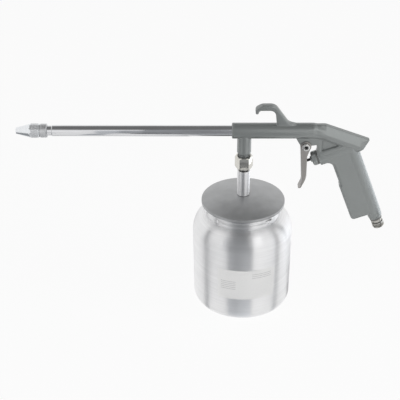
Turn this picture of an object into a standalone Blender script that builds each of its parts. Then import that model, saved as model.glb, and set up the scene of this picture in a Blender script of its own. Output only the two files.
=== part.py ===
"""Siphon-feed washing gun: long lance, pistol body with a hanging hook, and a one-litre suction cup.

Lengths are metres. The origin is the middle of the cup's base, +Z is up and the lance points along -X.
"""
import math

import bmesh
import bpy
from mathutils import Matrix, Vector

# Fits
GAP = 0.00025                 # left between two pieces that touch
THREAD_GAP = 0.0003           # left round a thread
CUT_PAST = 0.001              # a cutter runs past the face that it opens by this much

# Turned edges
EDGE = 0.0005                 # chamfer on small turned ends
EDGE_WIDE = 0.0008            # chamfer on larger ones

# Cup
CUP_RADIUS = 0.0552           # widest, at the shoulder
CUP_BASE_RADIUS = 0.0538      # the wall leans in a little towards the base
CUP_CORNER = 0.0125           # roll of the lower corner
CUP_WALL = 0.0011
CUP_SHOULDER_Z = 0.0902
CUP_SHOULDER_RISE = 0.0221
CUP_NECK_RADIUS = 0.0399
CUP_NECK_HEIGHT = 0.0112
CUP_RIM_BULGE = 0.0021        # the rolled rim stands out of the neck by this much

# Bayonet between cup and lid
BAYONET_COUNT = 3
BEAD_SPAN = 92.0              # degrees of neck that one bead covers
BEAD_HEIGHT = 0.0054
BEAD_BULGE = 0.0022
BEAD_DROP = 0.0071            # centre of the bead below the rim
ENTRY_WIDTH = 7.0             # degrees
ENTRY_INSET = 0.05            # degrees between the entry's end and the bead's
LOCK_MARGIN = 9.0             # degrees kept between a locked pin and the end of its bead
PIN_RADIUS = 0.0012
PIN_PROUD = 0.0023            # each pin stands out of the lid's skirt by this much
PIN_SUNK = 0.0003             # each pin stops this far short of the skirt's inside

# Lid and gasket
GASKET_THICKNESS = 0.0016
GASKET_PROUD = 0.0008         # the gasket stands out of the rim by this much
LID_RADIUS = 0.0457
LID_RIM_HEIGHT = 0.0033
LID_DOME = 0.0063
DOME_POWER = 1.7              # how late the dome falls off towards its rim
LID_SEAT_WIDTH = 0.0032       # flat ring round the riser
LID_THICKNESS = 0.0026
LID_SKIRT_DEPTH = 0.0125
LID_SKIRT_WALL = 0.0018
SKIRT_CLEARANCE = 0.0006
VENT_RADIUS = 0.001
VENT_REACH = 0.021            # from the lid's centre, behind the riser

# Riser between lid and gun
RISER_RADIUS = 0.0068
RISER_TOP_RADIUS = 0.0070
RISER_HEIGHT = 0.0319
RISER_NECK_RADIUS = 0.0044
RISER_FLANGE_RADIUS = 0.0059
RISER_FLANGE_HEIGHT = 0.0022
RISER_BORE = 0.0024
SPIGOT_RADIUS = 0.0052
SPIGOT_TAIL = 0.0015
LOCKNUT_FLATS = 0.015
LOCKNUT_HEIGHT = 0.0045
WASHER_THICKNESS = 0.001
WASHER_INSET = 0.0002         # the washer stays inside the lid's flat ring
DIP_RADIUS = 0.0034
DIP_WALL = 0.0008
DIP_SOCKET = 0.0085
DIP_CLEARANCE = 0.006         # from the cup's floor to the low end of the dip tube
DIP_SLANT = 30.0              # degrees that the low end is cut at

# Union nut
NUT_FLATS = 0.017
NUT_HEIGHT = 0.0159
NUT_LIP = 0.0035
NUT_CHAMFER = 0.0014
SEAL_THICKNESS = 0.0012
HEX_CORNER = 1.01             # a nut's turned blank against the reach of its corners
HEX_FACE = 0.96               # a nut's end face against half its flats

# Barrel and branch of the casting, from the crossing of their axes
BARREL_RADIUS = 0.0086
BARREL_FRONT = 0.0134
BARREL_REAR = 0.075           # where the barrel runs over into the tail
BARREL_SINK = 0.0034          # what joins the barrel reaches down to this height in it
BRANCH_RADIUS = 0.0076
BRANCH_DROP = 0.0282
BRANCH_ROLL = 0.0022          # height of the rolled edge at the foot of the branch
BRANCH_ROLL_IN = 0.0012
STUB_RADIUS = 0.00635
STUB_LENGTH = 0.01005
FLUID_BORE = 0.0026
CHAMBER_RADIUS = 0.0058
CHAMBER_REAR = 0.017
AIR_BORE = 0.0036
AIR_BORE_REAR = 0.084
PORT_RADIUS = 0.0022
PORT_SHORT = 0.004            # the port meets the air bore this far ahead of its end

# Hook on top of the barrel
HOOK_HALF = 0.004
HOOK_EDGE = 0.0015
HOOK_SEAT = 0.0249            # underside of the arch above the barrel's axis
HOOK_TOP = 0.0313
HOOK_NOSE_X = 0.0109
HOOK_NOSE_DROP = 0.0041       # the nose hangs this far below the seat
HOOK_NOSE_THICK = 0.0034
HOOK_BROW = 0.0042            # the nose's front starts this far below the top
HOOK_ROOT_X = 0.0335
HOOK_RAKE = 0.0012            # lean of the root's front face
HOOK_BACK = 0.0135            # from the root to the foot of the falling back
HOOK_FOOT = 0.0245            # from the root to the end of the foot along the barrel
HOOK_ARCH_ROUND = 0.006
HOOK_TOP_ROUND = 0.0095
HOOK_FOOT_ROUND = 0.008
HOOK_NOSE_ROUND = 0.0011

# Trigger lug and the web behind it
PIVOT_X = 0.0658
PIVOT_DROP = 0.016            # below the barrel's axis
LUG_RADIUS = 0.005
LUG_HALF = 0.0055
LUG_EDGE = 0.0007
LUG_ROUND = 0.002
LUG_FOOT = 0.0021             # half the flat at the bottom of the lug
LUG_FRONT_X = 0.0558
LUG_SHOULDER = 0.0012         # height by which the lug's sides differ from the pivot's
LUG_OVERLAP = 0.0035          # the lug runs into the valve housing by this much
WEB_HALF = 0.0034
WEB_SHORT = 0.006             # the web's top ends this far ahead of the grip

# Tail
TAIL_FALL_X = 0.085           # where the ridge starts to fall
TAIL_SLOPE = 20.5             # degrees
TAIL_TIP_X = 0.134
TAIL_TIP_LENGTH = 0.008       # the last stretch, which narrows
TAIL_TIP_BACK = 0.0125        # lean of the end face
TAIL_TOP_HALF = 0.0028        # half the ridge's width
TAIL_WIDE_HALF = 0.0089
FACET_DEPTH = 0.0086          # from the ridge down to the widest line
TAIL_DEPTH = 0.0165
TAIL_LAP = 0.004              # the tail starts this far inside the barrel

# Grip and valve housing, from the crossing of the grip tube's and the valve's axes
GRIP_X = 0.114
GRIP_DROP = 0.0193            # below the barrel's axis
GRIP_TILT = 20.4              # degrees from upright
TUBE_RADIUS = 0.008
TUBE_TOP = 0.007
TUBE_LENGTH = 0.0945
TUBE_BORE = 0.0036
TUBE_BORE_TOP = 0.0013        # the bore runs past the valve's axis by this much
COLLAR_RADIUS = 0.0078
COLLAR_HEIGHT = 0.0075
COLLAR_TAPER = 0.0032         # height of the taper at the foot of the tube
COLLAR_FOOT = 0.0069
PLATE_HALF = 0.0076
PLATE_EDGE = 0.0032
PLATE_LIFT = 0.0081           # the plate ends this far above the foot of the tube
PLATE_FRONT = 0.0258          # ahead of the tube's axis, below the finger step
PLATE_BACK = 0.001            # behind the tube's axis
PLATE_ROUND = 0.004
NECK_FRONT = 0.0243           # ahead of the tube's axis, above the finger step
NECK_ROUND = 0.006
NECK_BACK = 0.014             # where the plate's top starts to rise
NECK_TOP = 0.0095
STEP_DROP = 0.0385
STEP_HEIGHT = 0.0016
STEP_ROUND = 0.0012
HOUSING_RADIUS = 0.0085
HOUSING_FRONT = 0.0365
HOUSING_REAR = 0.002
HOUSING_INSET = 0.0004        # the plate stays inside the housing's side by this much
VALVE_BORE = 0.0056
VALVE_REAR = 0.0035

# Valve train along the housing's axis
BUSH_RADIUS = 0.008
BUSH_HEAD = 0.0056
BUSH_ROUND = 0.002            # height of the rounded front edge
BUSH_ROUND_IN = 0.0024
BUSH_SPIGOT_RADIUS = 0.0062
BUSH_SPIGOT = 0.0074
BUSH_SEAL = 0.0007
SEAL_INSET = 0.0002           # a flat seal stays inside its neighbours' edge by this much
GLAND_RADIUS = 0.0034
GLAND_LENGTH = 0.0042
GLAND_PROUD = 0.0016
PACKING_LENGTH = 0.0013
STEM_RADIUS = 0.0015
POPPET_RADIUS = 0.0044
POPPET_LENGTH = 0.0025
POPPET_SEAL = 0.0015
SEAT_LENGTH = 0.003
SEAT_BORE = 0.0026
FRONT_ROOM = 0.0062           # air space between bush and seat
GUIDE_LENGTH = 0.0045
SPRING_RADIUS = 0.0033
SPRING_WIRE = 0.00045
SPRING_TURNS = 6

# Trigger, from its pivot
SHEET = 0.0012
EAR_RADIUS = 0.0058
EAR_NECK = 0.006              # over this height the ear runs into the flange
EAR_INSET = 0.00002           # the ears stay inside the web's width by this much
TRIGGER_FRONT = 0.0054        # front of the web ahead of the pivot, at the top
TRIGGER_LEAN = 0.0024         # how far the web comes back by the finger curl
WEB_TOP_Z = -0.0038
CURL_Z = -0.0445
LIP_REACH = 0.0038
LIP_Z = -0.0534
LIP_ROUND = 0.005
LIP_TRIM = 0.0003             # the rounded outline takes this much off the lip
FLANGE_REAR = 0.0018
FLANGE_TURN_Z = -0.0356       # where the flange starts to run out
FLANGE_END_X = -0.0038
FLANGE_END_Z = -0.0502
FLANGE_CURVE = 1.7            # how late it runs out

# Pivot screw
SCREW_RADIUS = 0.002
SCREW_HEAD_RADIUS = 0.0037
SCREW_HEAD = 0.0023
SCREW_HEAD_SIDE = 0.0013      # straight part of the head's side
SCREW_FACE_RADIUS = 0.0022
SOCKET_FLATS = 0.0032
SOCKET_DEPTH = 0.0014
PIVOT_NUT_FLATS = 0.007
PIVOT_NUT = 0.003

# Air inlet
NIPPLE_RADIUS = 0.0065
NIPPLE_THREAD = 0.0076
NIPPLE_SPIGOT_RADIUS = 0.0052
NIPPLE_SPIGOT = 0.0085
NIPPLE_SHOULDER = 0.0014
NIPPLE_GROOVE = 0.0018
NIPPLE_GROOVE_DEPTH = 0.0011
NIPPLE_BORE = 0.0036
INLET_SEAL = 0.001

# Lance, nozzle and the air line inside them
LANCE_RADIUS = 0.006
LANCE_WALL = 0.001
LANCE_SOCKET = 0.0096
LANCE_EXPOSED = 0.1968
LANCE_RELIEF = 0.0005         # the threaded end is this much smaller in radius
RELIEF_SHOWS = 0.005
RING_RADIUS = 0.0075
RING_LENGTH = 0.0079
NOZZLE_RADIUS = 0.0076
NOZZLE_LENGTH = 0.0251
NOZZLE_GRIP = 0.0101
NOZZLE_CONE_RADIUS = 0.007
NOZZLE_TIP_RADIUS = 0.0034
NOZZLE_HOLE = 0.0017
NOZZLE_HOLE_DEPTH = 0.0025
NOZZLE_SOCKET = 0.0125
LINE_RADIUS = 0.0022
LINE_WALL = 0.0008
LINE_BUSH = 0.0072
JET_RADIUS = 0.0031
JET_NOSE = 0.0013
JET_TAPER = 0.0055
JET_BORE = 0.0009
JET_LENGTH = 0.0105
JET_SOCKET = 0.004
JET_BACK = 0.0025             # from the nozzle's hole to the jet's nose
SPACER_LENGTH = 0.006
SPACER_BACK = 0.022           # from the lance's front end to the spacer
SCALLOP_COUNT = 3
SCALLOP_RADIUS = 0.0021

# How finely round things are cut
FINE = 40
MEDIUM = 24
COARSE = 16
SMALL = 12
ARC_STEP = 0.27               # radians along a rounded corner
LID_STEPS = 5
BEAD_STEPS = 12
ENTRY_STEPS = 2
SPRING_POINTS = 10            # on each turn

# Heights that follow from the sizes above
cup_height = CUP_SHOULDER_Z + CUP_SHOULDER_RISE + CUP_NECK_HEIGHT
neck_inside = CUP_NECK_RADIUS - CUP_WALL
bead_z = cup_height - BEAD_DROP
lid_z = cup_height + 2 * GAP + GASKET_THICKNESS
rim_top = lid_z + LID_RIM_HEIGHT
lid_top = rim_top + LID_DOME
skirt_outside = neck_inside - SKIRT_CLEARANCE
riser_foot = lid_top + GAP
riser_top = riser_foot + RISER_HEIGHT
nut_bottom = riser_top + GAP
nut_top = nut_bottom + NUT_HEIGHT
flange_bottom = nut_bottom + NUT_LIP + GAP
flange_top = flange_bottom + RISER_FLANGE_HEIGHT
seal_bottom = flange_top + GAP
stub_bottom = seal_bottom + SEAL_THICKNESS + GAP
barrel_z = stub_bottom + STUB_LENGTH + BRANCH_DROP
seat_radius = SPIGOT_RADIUS + LID_SEAT_WIDTH

for old in list(bpy.data.objects):
    bpy.data.objects.remove(old, do_unlink=True)

parts = bpy.data.collections.new("siphon_washing_gun")
cutters = bpy.data.collections.new("cutters")
bpy.context.scene.collection.children.link(parts)
bpy.context.scene.collection.children.link(cutters)


def material(name, colour, roughness, metallic):
    """One Principled material with a plain colour."""
    made = bpy.data.materials.new(name)
    made.use_nodes = True
    shader = made.node_tree.nodes["Principled BSDF"]
    shader.inputs["Base Color"].default_value = (*colour, 1.0)
    shader.inputs["Roughness"].default_value = roughness
    shader.inputs["Metallic"].default_value = metallic
    return made


def frame(name, place, tilt=0.0, parent=None):
    """An empty that carries the pieces of one region, leaned about Y by tilt degrees."""
    empty = bpy.data.objects.new(name, None)
    empty.location = place
    empty.rotation_euler = (0.0, math.radians(tilt), 0.0)
    empty.parent = parent
    parts.objects.link(empty)
    return empty


def thing(name, mesh, parent=None, look=None, lie="Z"):
    """An object in its frame; lie says which of the frame's axes the mesh's Z runs along."""
    made = bpy.data.objects.new(name, mesh)
    made.parent = parent
    if lie == "X":
        made.rotation_euler = (0.0, math.pi / 2, 0.0)
    if lie == "Y":
        made.rotation_euler = (-math.pi / 2, 0.0, 0.0)
    if look is None:
        made.hide_render = True
        made.display_type = "WIRE"
        cutters.objects.link(made)
    else:
        mesh.materials.append(look)
        parts.objects.link(made)
    return made


def turned(name, profile, parent=None, look=None, lie="Z", steps=MEDIUM):
    """A turned piece. The profile is (radius, height) down its outer side; a ring's profile closes."""
    mesh = bpy.data.meshes.new(name)
    corners = [(radius, 0.0, height) for radius, height in profile]
    edges = [(i, i + 1) for i in range(len(corners) - 1)]
    if profile[0][0] > 0.0:
        edges.append((len(corners) - 1, 0))
    mesh.from_pydata(corners, edges, [])
    made = thing(name, mesh, parent, look, lie)
    screw = made.modifiers.new("turn", "SCREW")
    screw.axis = "Z"
    screw.angle = 2 * math.pi
    screw.steps = steps
    screw.render_steps = steps
    screw.use_merge_vertices = True
    screw.merge_threshold = 0.00001
    screw.use_smooth_shade = False
    return made


def arc(centre, radius, start, stop, count):
    """Points on an arc from start to stop degrees."""
    points = []
    for i in range(count + 1):
        angle = math.radians(start + (stop - start) * i / count)
        points.append((centre[0] + radius * math.cos(angle), centre[1] + radius * math.sin(angle)))
    return points


def rolled(radius, height, inward, rise, count=2):
    """A rounded edge of a turned profile, from its side at height to its end face, rise further on."""
    points = []
    for i in range(count + 1):
        turn = math.radians(90.0 * i / count)
        points.append((radius - inward * (1.0 - math.cos(turn)), height + rise * math.sin(turn)))
    return points


def rounded(corners):
    """A closed outline from (x, z, radius) corners, each replaced by an arc of its radius."""
    outline = []
    total = len(corners)
    for i in range(total):
        here = Vector(corners[i][:2])
        radius = corners[i][2]
        if radius <= 0.0:
            outline.append(tuple(here))
            continue
        back = (Vector(corners[i - 1][:2]) - here).normalized()
        ahead = (Vector(corners[(i + 1) % total][:2]) - here).normalized()
        half = back.angle(ahead) / 2
        centre = here + (back + ahead).normalized() * radius / math.sin(half)
        first = here + back * radius / math.tan(half) - centre
        last = here + ahead * radius / math.tan(half) - centre
        sweep = first.angle_signed(last)
        count = max(2, math.ceil(abs(sweep) / ARC_STEP))
        for k in range(count + 1):
            point = first.copy()
            point.rotate(Matrix.Rotation(-sweep * k / count, 2))
            outline.append(tuple(centre + point))
    return outline


def closed_mesh(name, bm):
    """A mesh from bm with doubled points merged and every face looking out."""
    bmesh.ops.remove_doubles(bm, verts=bm.verts, dist=0.000001)
    bmesh.ops.recalc_face_normals(bm, faces=bm.faces)
    mesh = bpy.data.meshes.new(name)
    bm.to_mesh(mesh)
    bm.free()
    return mesh


def plate_mesh(name, outline, half, edge=0.0, edge_steps=2):
    """An outline drawn in the XZ plane, half thick each way along Y, its edges rolled by edge."""
    flat = bpy.data.curves.new(name, "CURVE")
    flat.dimensions = "2D"
    flat.fill_mode = "BOTH"
    flat.extrude = half - edge
    flat.bevel_depth = edge
    flat.bevel_resolution = edge_steps
    flat.offset = -edge
    spline = flat.splines.new("POLY")
    spline.points.add(len(outline) - 1)
    for point, (x, z) in zip(spline.points, outline):
        point.co = (x, z, 0.0, 1.0)
    spline.use_cyclic_u = True
    holder = bpy.data.objects.new(name, flat)
    cutters.objects.link(holder)
    bpy.context.view_layer.update()
    drawn = bpy.data.meshes.new_from_object(holder.evaluated_get(bpy.context.evaluated_depsgraph_get()))
    bpy.data.objects.remove(holder, do_unlink=True)
    bm = bmesh.new()
    bm.from_mesh(drawn)
    bmesh.ops.rotate(bm, verts=bm.verts, matrix=Matrix.Rotation(math.pi / 2, 3, "X"))
    return closed_mesh(name, bm)


def plate(name, outline, half, parent=None, look=None, edge=0.0, edge_steps=2):
    """An object made of one flat plate in its frame's XZ plane."""
    return thing(name, plate_mesh(name, outline, half, edge, edge_steps), parent, look)


def sector(name, section, start, stop, count):
    """A part ring: a (radius, height) section carried round Z from start to stop degrees."""
    bm = bmesh.new()
    first = math.radians(start)
    corners = [bm.verts.new((r * math.cos(first), r * math.sin(first), z)) for r, z in section]
    face = bm.faces.new(corners)
    bmesh.ops.spin(bm, geom=[face], axis=(0.0, 0.0, 1.0), cent=(0.0, 0.0, 0.0),
                   angle=math.radians(stop - start), steps=count)
    return thing(name, closed_mesh(name, bm))


def loft(name, rings, parent=None):
    """A closed body through rings of points that match one to one."""
    bm = bmesh.new()
    rows = [[bm.verts.new(point) for point in points] for points in rings]
    count = len(rows[0])
    for near, far in zip(rows, rows[1:]):
        for i in range(count):
            j = (i + 1) % count
            bm.faces.new((near[i], near[j], far[j], far[i]))
    bm.faces.new(rows[0])
    bm.faces.new(rows[-1])
    return thing(name, closed_mesh(name, bm), parent)


def prism(name, across_flats, bottom, top, parent=None, lie="Z"):
    """A hexagonal cutter whose flats face along Y."""
    bm = bmesh.new()
    base = arc((0.0, 0.0), across_flats / math.sqrt(3), 0, 300, 5)
    low = [bm.verts.new((x, y, bottom)) for x, y in base]
    high = [bm.verts.new((x, y, top)) for x, y in base]
    bm.faces.new(low)
    bm.faces.new(high)
    for i in range(6):
        j = (i + 1) % 6
        bm.faces.new((low[i], low[j], high[j], high[i]))
    return thing(name, closed_mesh(name, bm), parent, None, lie)


def rod(name, radius, low, high, parent=None, lie="Z", steps=COARSE):
    """A plain round cutter from low to high along its axis."""
    profile = [(0.0, high), (radius, high), (radius, low), (0.0, low)]
    return turned(name, profile, parent, None, lie, steps)


def combine(target, how, *others):
    """Boolean steps on target, in order; how is UNION, DIFFERENCE or INTERSECT."""
    for other in others:
        step = target.modifiers.new(other.name, "BOOLEAN")
        step.operation = how
        step.solver = "EXACT"
        step.object = other


def ring(name, inner, outer, low, high, parent=None, look=None, lie="Z", steps=MEDIUM):
    """A flat ring or plain tube."""
    profile = [(inner, high), (outer, high), (outer, low), (inner, low)]
    return turned(name, profile, parent, look, lie, steps)


def hexagon(name, across_flats, bore, low, high, parent, look, lie="Z", chamfer=EDGE_WIDE):
    """A hexagon nut with chamfered corners and a plain bore."""
    corner = across_flats / math.sqrt(3) * HEX_CORNER
    flat = across_flats / 2 * HEX_FACE
    profile = [(bore, high), (flat, high), (corner, high - chamfer), (corner, low + chamfer),
               (flat, low), (bore, low)]
    nut = turned(name, profile, parent, look, lie, MEDIUM)
    flats = prism(name + "_flats", across_flats, low - CUT_PAST, high + CUT_PAST, parent, lie)
    combine(nut, "INTERSECT", flats)
    return nut


casting_grey = material("casting_grey", (0.16, 0.17, 0.165), 0.38, 0.2)
lid_grey = material("lid_grey", (0.14, 0.145, 0.143), 0.42, 0.2)
spun_aluminium = material("spun_aluminium", (0.78, 0.78, 0.78), 0.28, 1.0)
bright_aluminium = material("bright_aluminium", (0.86, 0.86, 0.86), 0.15, 1.0)
chrome = material("chrome", (0.84, 0.84, 0.85), 0.07, 1.0)
nickel = material("nickel", (0.70, 0.67, 0.61), 0.16, 1.0)
brass = material("brass", (0.72, 0.56, 0.28), 0.25, 1.0)
pressed_steel = material("pressed_steel", (0.52, 0.50, 0.47), 0.34, 1.0)
zinc_steel = material("zinc_steel", (0.60, 0.60, 0.60), 0.30, 1.0)
black_steel = material("black_steel", (0.03, 0.03, 0.03), 0.40, 0.6)
rubber = material("rubber", (0.02, 0.02, 0.02), 0.60, 0.0)
fibre = material("fibre", (0.36, 0.09, 0.05), 0.70, 0.0)
dip_plastic = material("dip_plastic", (0.72, 0.72, 0.68), 0.35, 0.0)
ptfe = material("ptfe", (0.80, 0.80, 0.78), 0.45, 0.0)

gun = frame("gun_frame", (0.0, 0.0, barrel_z))
grip = frame("grip_frame", (GRIP_X, 0.0, -GRIP_DROP), -GRIP_TILT, gun)
pivot = frame("pivot_frame", (PIVOT_X, 0.0, -PIVOT_DROP), 0.0, gun)

# Cup: one spun shell with a rolled rim, then three bayonet beads pressed out of its neck.
rim_roll = (CUP_WALL + CUP_RIM_BULGE) / 2
rim_centre = (neck_inside + rim_roll, cup_height - rim_roll)
under_rim = -math.degrees(math.acos((CUP_NECK_RADIUS - rim_centre[0]) / rim_roll))
corner_centre = (CUP_BASE_RADIUS - CUP_CORNER, CUP_CORNER)
shoulder_span = CUP_RADIUS - CUP_NECK_RADIUS


def shoulder(neck, rise, turn):
    """A point on the shoulder's quarter ellipse, turn degrees from the neck."""
    angle = math.radians(turn)
    return (neck + shoulder_span * math.sin(angle), CUP_SHOULDER_Z + rise * math.cos(angle))


cup_profile = [(0.0, CUP_WALL)]
cup_profile += arc(corner_centre, CUP_CORNER - CUP_WALL, -90, 0, 4)
for i in range(6):
    cup_profile.append(shoulder(neck_inside, CUP_SHOULDER_RISE - CUP_WALL, 90 - 90 * i / 5))
cup_profile += arc(rim_centre, rim_roll, 180, under_rim, 6)
for i in range(7):
    cup_profile.append(shoulder(CUP_NECK_RADIUS, CUP_SHOULDER_RISE, 90 * i / 6))
cup_profile += arc(corner_centre, CUP_CORNER, 0, -90, 5)
cup_profile.append((0.0, 0.0))
cup = turned("cup", cup_profile, None, spun_aluminium, "Z", FINE)

bead_low = bead_z - BEAD_HEIGHT / 2
bead_high = bead_z + BEAD_HEIGHT / 2
bead_outside = CUP_NECK_RADIUS + BEAD_BULGE
track_outside = neck_inside + BEAD_BULGE
inside_wall = CUP_NECK_RADIUS - CUP_WALL / 2
cut_inside = neck_inside - CUT_PAST
under_roll = cup_height - rim_roll
bead_section = [(inside_wall, bead_low), (bead_outside - CUP_WALL, bead_low),
                (bead_outside, bead_low + CUP_WALL), (bead_outside, bead_high - CUP_WALL),
                (bead_outside - CUP_WALL, bead_high), (inside_wall, bead_high)]
entry_section = [(inside_wall, bead_z), (bead_outside, bead_z), (bead_outside, under_roll),
                 (inside_wall, under_roll)]
track_section = [(cut_inside, bead_low + CUP_WALL), (track_outside, bead_low + CUP_WALL),
                 (track_outside, bead_high - CUP_WALL), (cut_inside, bead_high - CUP_WALL)]
way_section = [(cut_inside, bead_z), (track_outside, bead_z), (track_outside, cup_height + CUT_PAST),
               (cut_inside, cup_height + CUT_PAST)]
wall_angle = math.degrees(CUP_WALL / CUP_NECK_RADIUS)
pin_angles = []
for n in range(BAYONET_COUNT):
    low_end = -90.0 - BEAD_SPAN / 2 + 360.0 / BAYONET_COUNT * n
    high_end = low_end + BEAD_SPAN
    entry_low = high_end - ENTRY_WIDTH - 2 * wall_angle
    way_high = high_end - wall_angle
    bead = sector(f"bead_{n}", bead_section, low_end, high_end, BEAD_STEPS)
    entry = sector(f"entry_{n}", entry_section, entry_low, high_end - ENTRY_INSET, ENTRY_STEPS)
    track = sector(f"track_{n}", track_section, low_end + wall_angle, way_high, BEAD_STEPS)
    way = sector(f"way_{n}", way_section, entry_low + wall_angle, way_high - ENTRY_INSET, ENTRY_STEPS)
    combine(cup, "UNION", bead, entry)
    combine(cup, "DIFFERENCE", track, way)
    pin_angles.append(low_end + LOCK_MARGIN)

# Lid: shallow dome, square rim and a skirt that carries the bayonet pins.
rim_edge = LID_RADIUS - EDGE


def dome(radius):
    """Height of the lid's upper side at a radius."""
    share = max(0.0, (radius - seat_radius) / (rim_edge - seat_radius))
    return rim_top + LID_DOME * (1.0 - share ** DOME_POWER)


hole = SPIGOT_RADIUS + GAP
skirt_inside = skirt_outside - LID_SKIRT_WALL
skirt_bottom = lid_z - LID_SKIRT_DEPTH
lid_profile = [(hole, lid_top)]
for i in range(LID_STEPS + 1):
    reach = seat_radius + (rim_edge - seat_radius) * i / LID_STEPS
    lid_profile.append((reach, dome(reach)))
lid_profile += [(LID_RADIUS, rim_top - EDGE), (LID_RADIUS, lid_z), (skirt_outside, lid_z),
                (skirt_outside, skirt_bottom), (skirt_inside, skirt_bottom)]
for i in range(LID_STEPS + 1):
    reach = skirt_inside + (seat_radius - skirt_inside) * i / LID_STEPS
    lid_profile.append((reach, dome(reach) - LID_THICKNESS))
lid_profile.append((hole, lid_top - LID_THICKNESS))
lid = turned("cup_lid", lid_profile, None, lid_grey, "Z", FINE)
vent = rod("vent", VENT_RADIUS, lid_z - CUT_PAST, lid_top + CUT_PAST, None, "Z", SMALL)
vent.location = (0.0, VENT_REACH, 0.0)
combine(lid, "DIFFERENCE", vent)

pin_root = skirt_inside + PIN_SUNK
pin_tip = skirt_outside + PIN_PROUD
for n, angle in enumerate(pin_angles):
    stand = frame(f"pin_{n}_frame", (0.0, 0.0, bead_z))
    stand.rotation_euler = (0.0, 0.0, math.radians(angle))
    pin_profile = [(0.0, pin_tip), (PIN_RADIUS - EDGE, pin_tip), (PIN_RADIUS, pin_tip - EDGE),
                   (PIN_RADIUS, pin_root), (0.0, pin_root)]
    turned(f"bayonet_pin_{n + 1}", pin_profile, stand, zinc_steel, "X", SMALL)
    pin_hole = rod(f"pin_hole_{n}", PIN_RADIUS + GAP, skirt_inside - CUT_PAST, skirt_outside + CUT_PAST,
                   stand, "X", SMALL)
    combine(lid, "DIFFERENCE", pin_hole)

gasket_outside = CUP_NECK_RADIUS + CUP_RIM_BULGE + GASKET_PROUD
gasket_bottom = cup_height + GAP
ring("lid_gasket", skirt_outside + GAP, gasket_outside, gasket_bottom, gasket_bottom + GASKET_THICKNESS,
     None, rubber, "Z", FINE)

# Riser: a turned stem through the lid, held below by a locknut and above by the union nut.
under_lid = lid_top - LID_THICKNESS
washer_bottom = under_lid - GAP - WASHER_THICKNESS
locknut_top = washer_bottom - GAP
locknut_bottom = locknut_top - LOCKNUT_HEIGHT
spigot_bottom = locknut_bottom - SPIGOT_TAIL
dip_top = spigot_bottom + DIP_SOCKET
dip_hole = DIP_RADIUS + GAP
riser_profile = [(RISER_BORE, flange_top), (RISER_FLANGE_RADIUS, flange_top),
                 (RISER_FLANGE_RADIUS, flange_bottom), (RISER_NECK_RADIUS, flange_bottom),
                 (RISER_NECK_RADIUS, riser_top), (RISER_TOP_RADIUS - EDGE, riser_top),
                 (RISER_TOP_RADIUS, riser_top - EDGE), (RISER_RADIUS, riser_foot),
                 (SPIGOT_RADIUS, riser_foot), (SPIGOT_RADIUS, spigot_bottom), (dip_hole, spigot_bottom),
                 (dip_hole, dip_top + GAP), (RISER_BORE, dip_top + GAP)]
turned("riser", riser_profile, None, bright_aluminium, "Z", MEDIUM)
ring("riser_washer", SPIGOT_RADIUS + GAP, seat_radius - WASHER_INSET, washer_bottom,
     washer_bottom + WASHER_THICKNESS, None, fibre, "Z", COARSE)
hexagon("riser_locknut", LOCKNUT_FLATS, SPIGOT_RADIUS + THREAD_GAP, locknut_bottom, locknut_top, None,
        zinc_steel)

dip_bottom = CUP_WALL + DIP_CLEARANCE
dip = ring("dip_tube", DIP_RADIUS - DIP_WALL, DIP_RADIUS, dip_bottom, dip_top, None, dip_plastic, "Z",
           COARSE)
block = 6 * DIP_RADIUS
slant_mesh = plate_mesh("dip_slant", [(-block, -block), (block, -block), (block, 0.0), (-block, 0.0)], block)
slant = thing("dip_slant", slant_mesh)
slant.location = (0.0, 0.0, dip_bottom + DIP_RADIUS * math.tan(math.radians(DIP_SLANT)))
slant.rotation_euler = (0.0, math.radians(DIP_SLANT), 0.0)
combine(dip, "DIFFERENCE", slant)

# Union nut, flats towards the front and back, and the washer it squeezes.
nut_bore = STUB_RADIUS + THREAD_GAP
nut_corner = NUT_FLATS / math.sqrt(3) * HEX_CORNER
nut_face = NUT_FLATS / 2 * HEX_FACE
lip_bore = RISER_NECK_RADIUS + GAP
lip_top = nut_bottom + NUT_LIP
nut_profile = [(nut_bore + EDGE_WIDE, nut_top), (nut_face, nut_top), (nut_corner, nut_top - NUT_CHAMFER),
               (nut_corner, nut_bottom + NUT_CHAMFER), (nut_face, nut_bottom), (lip_bore, nut_bottom),
               (lip_bore, lip_top), (nut_bore, lip_top), (nut_bore, nut_top - EDGE_WIDE)]
nut = turned("union_nut", nut_profile, None, nickel, "Z", FINE)
combine(nut, "INTERSECT", prism("union_flats", NUT_FLATS, nut_bottom - CUT_PAST, nut_top + CUT_PAST))
ring("union_seal", FLUID_BORE, RISER_FLANGE_RADIUS, seal_bottom, seal_bottom + SEAL_THICKNESS, None, fibre,
     "Z", COARSE)

# Casting: barrel, branch, hook, lug, tail, valve housing and grip joined into one body, then bored.
barrel_profile = [(0.0, BARREL_REAR), (BARREL_RADIUS, BARREL_REAR),
                  (BARREL_RADIUS, -BARREL_FRONT + EDGE_WIDE), (BARREL_RADIUS - EDGE_WIDE, -BARREL_FRONT),
                  (0.0, -BARREL_FRONT)]
body = turned("gun_body", barrel_profile, gun, casting_grey, "X", FINE)
branch_end = -BRANCH_DROP - STUB_LENGTH
branch_profile = [(0.0, 0.0), (BRANCH_RADIUS, 0.0)]
branch_profile += rolled(BRANCH_RADIUS, -BRANCH_DROP + BRANCH_ROLL, BRANCH_ROLL_IN, -BRANCH_ROLL)
branch_profile += [(STUB_RADIUS, -BRANCH_DROP), (STUB_RADIUS, branch_end + EDGE_WIDE),
                   (STUB_RADIUS - EDGE_WIDE, branch_end), (0.0, branch_end)]
branch = turned("branch", branch_profile, gun)

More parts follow.
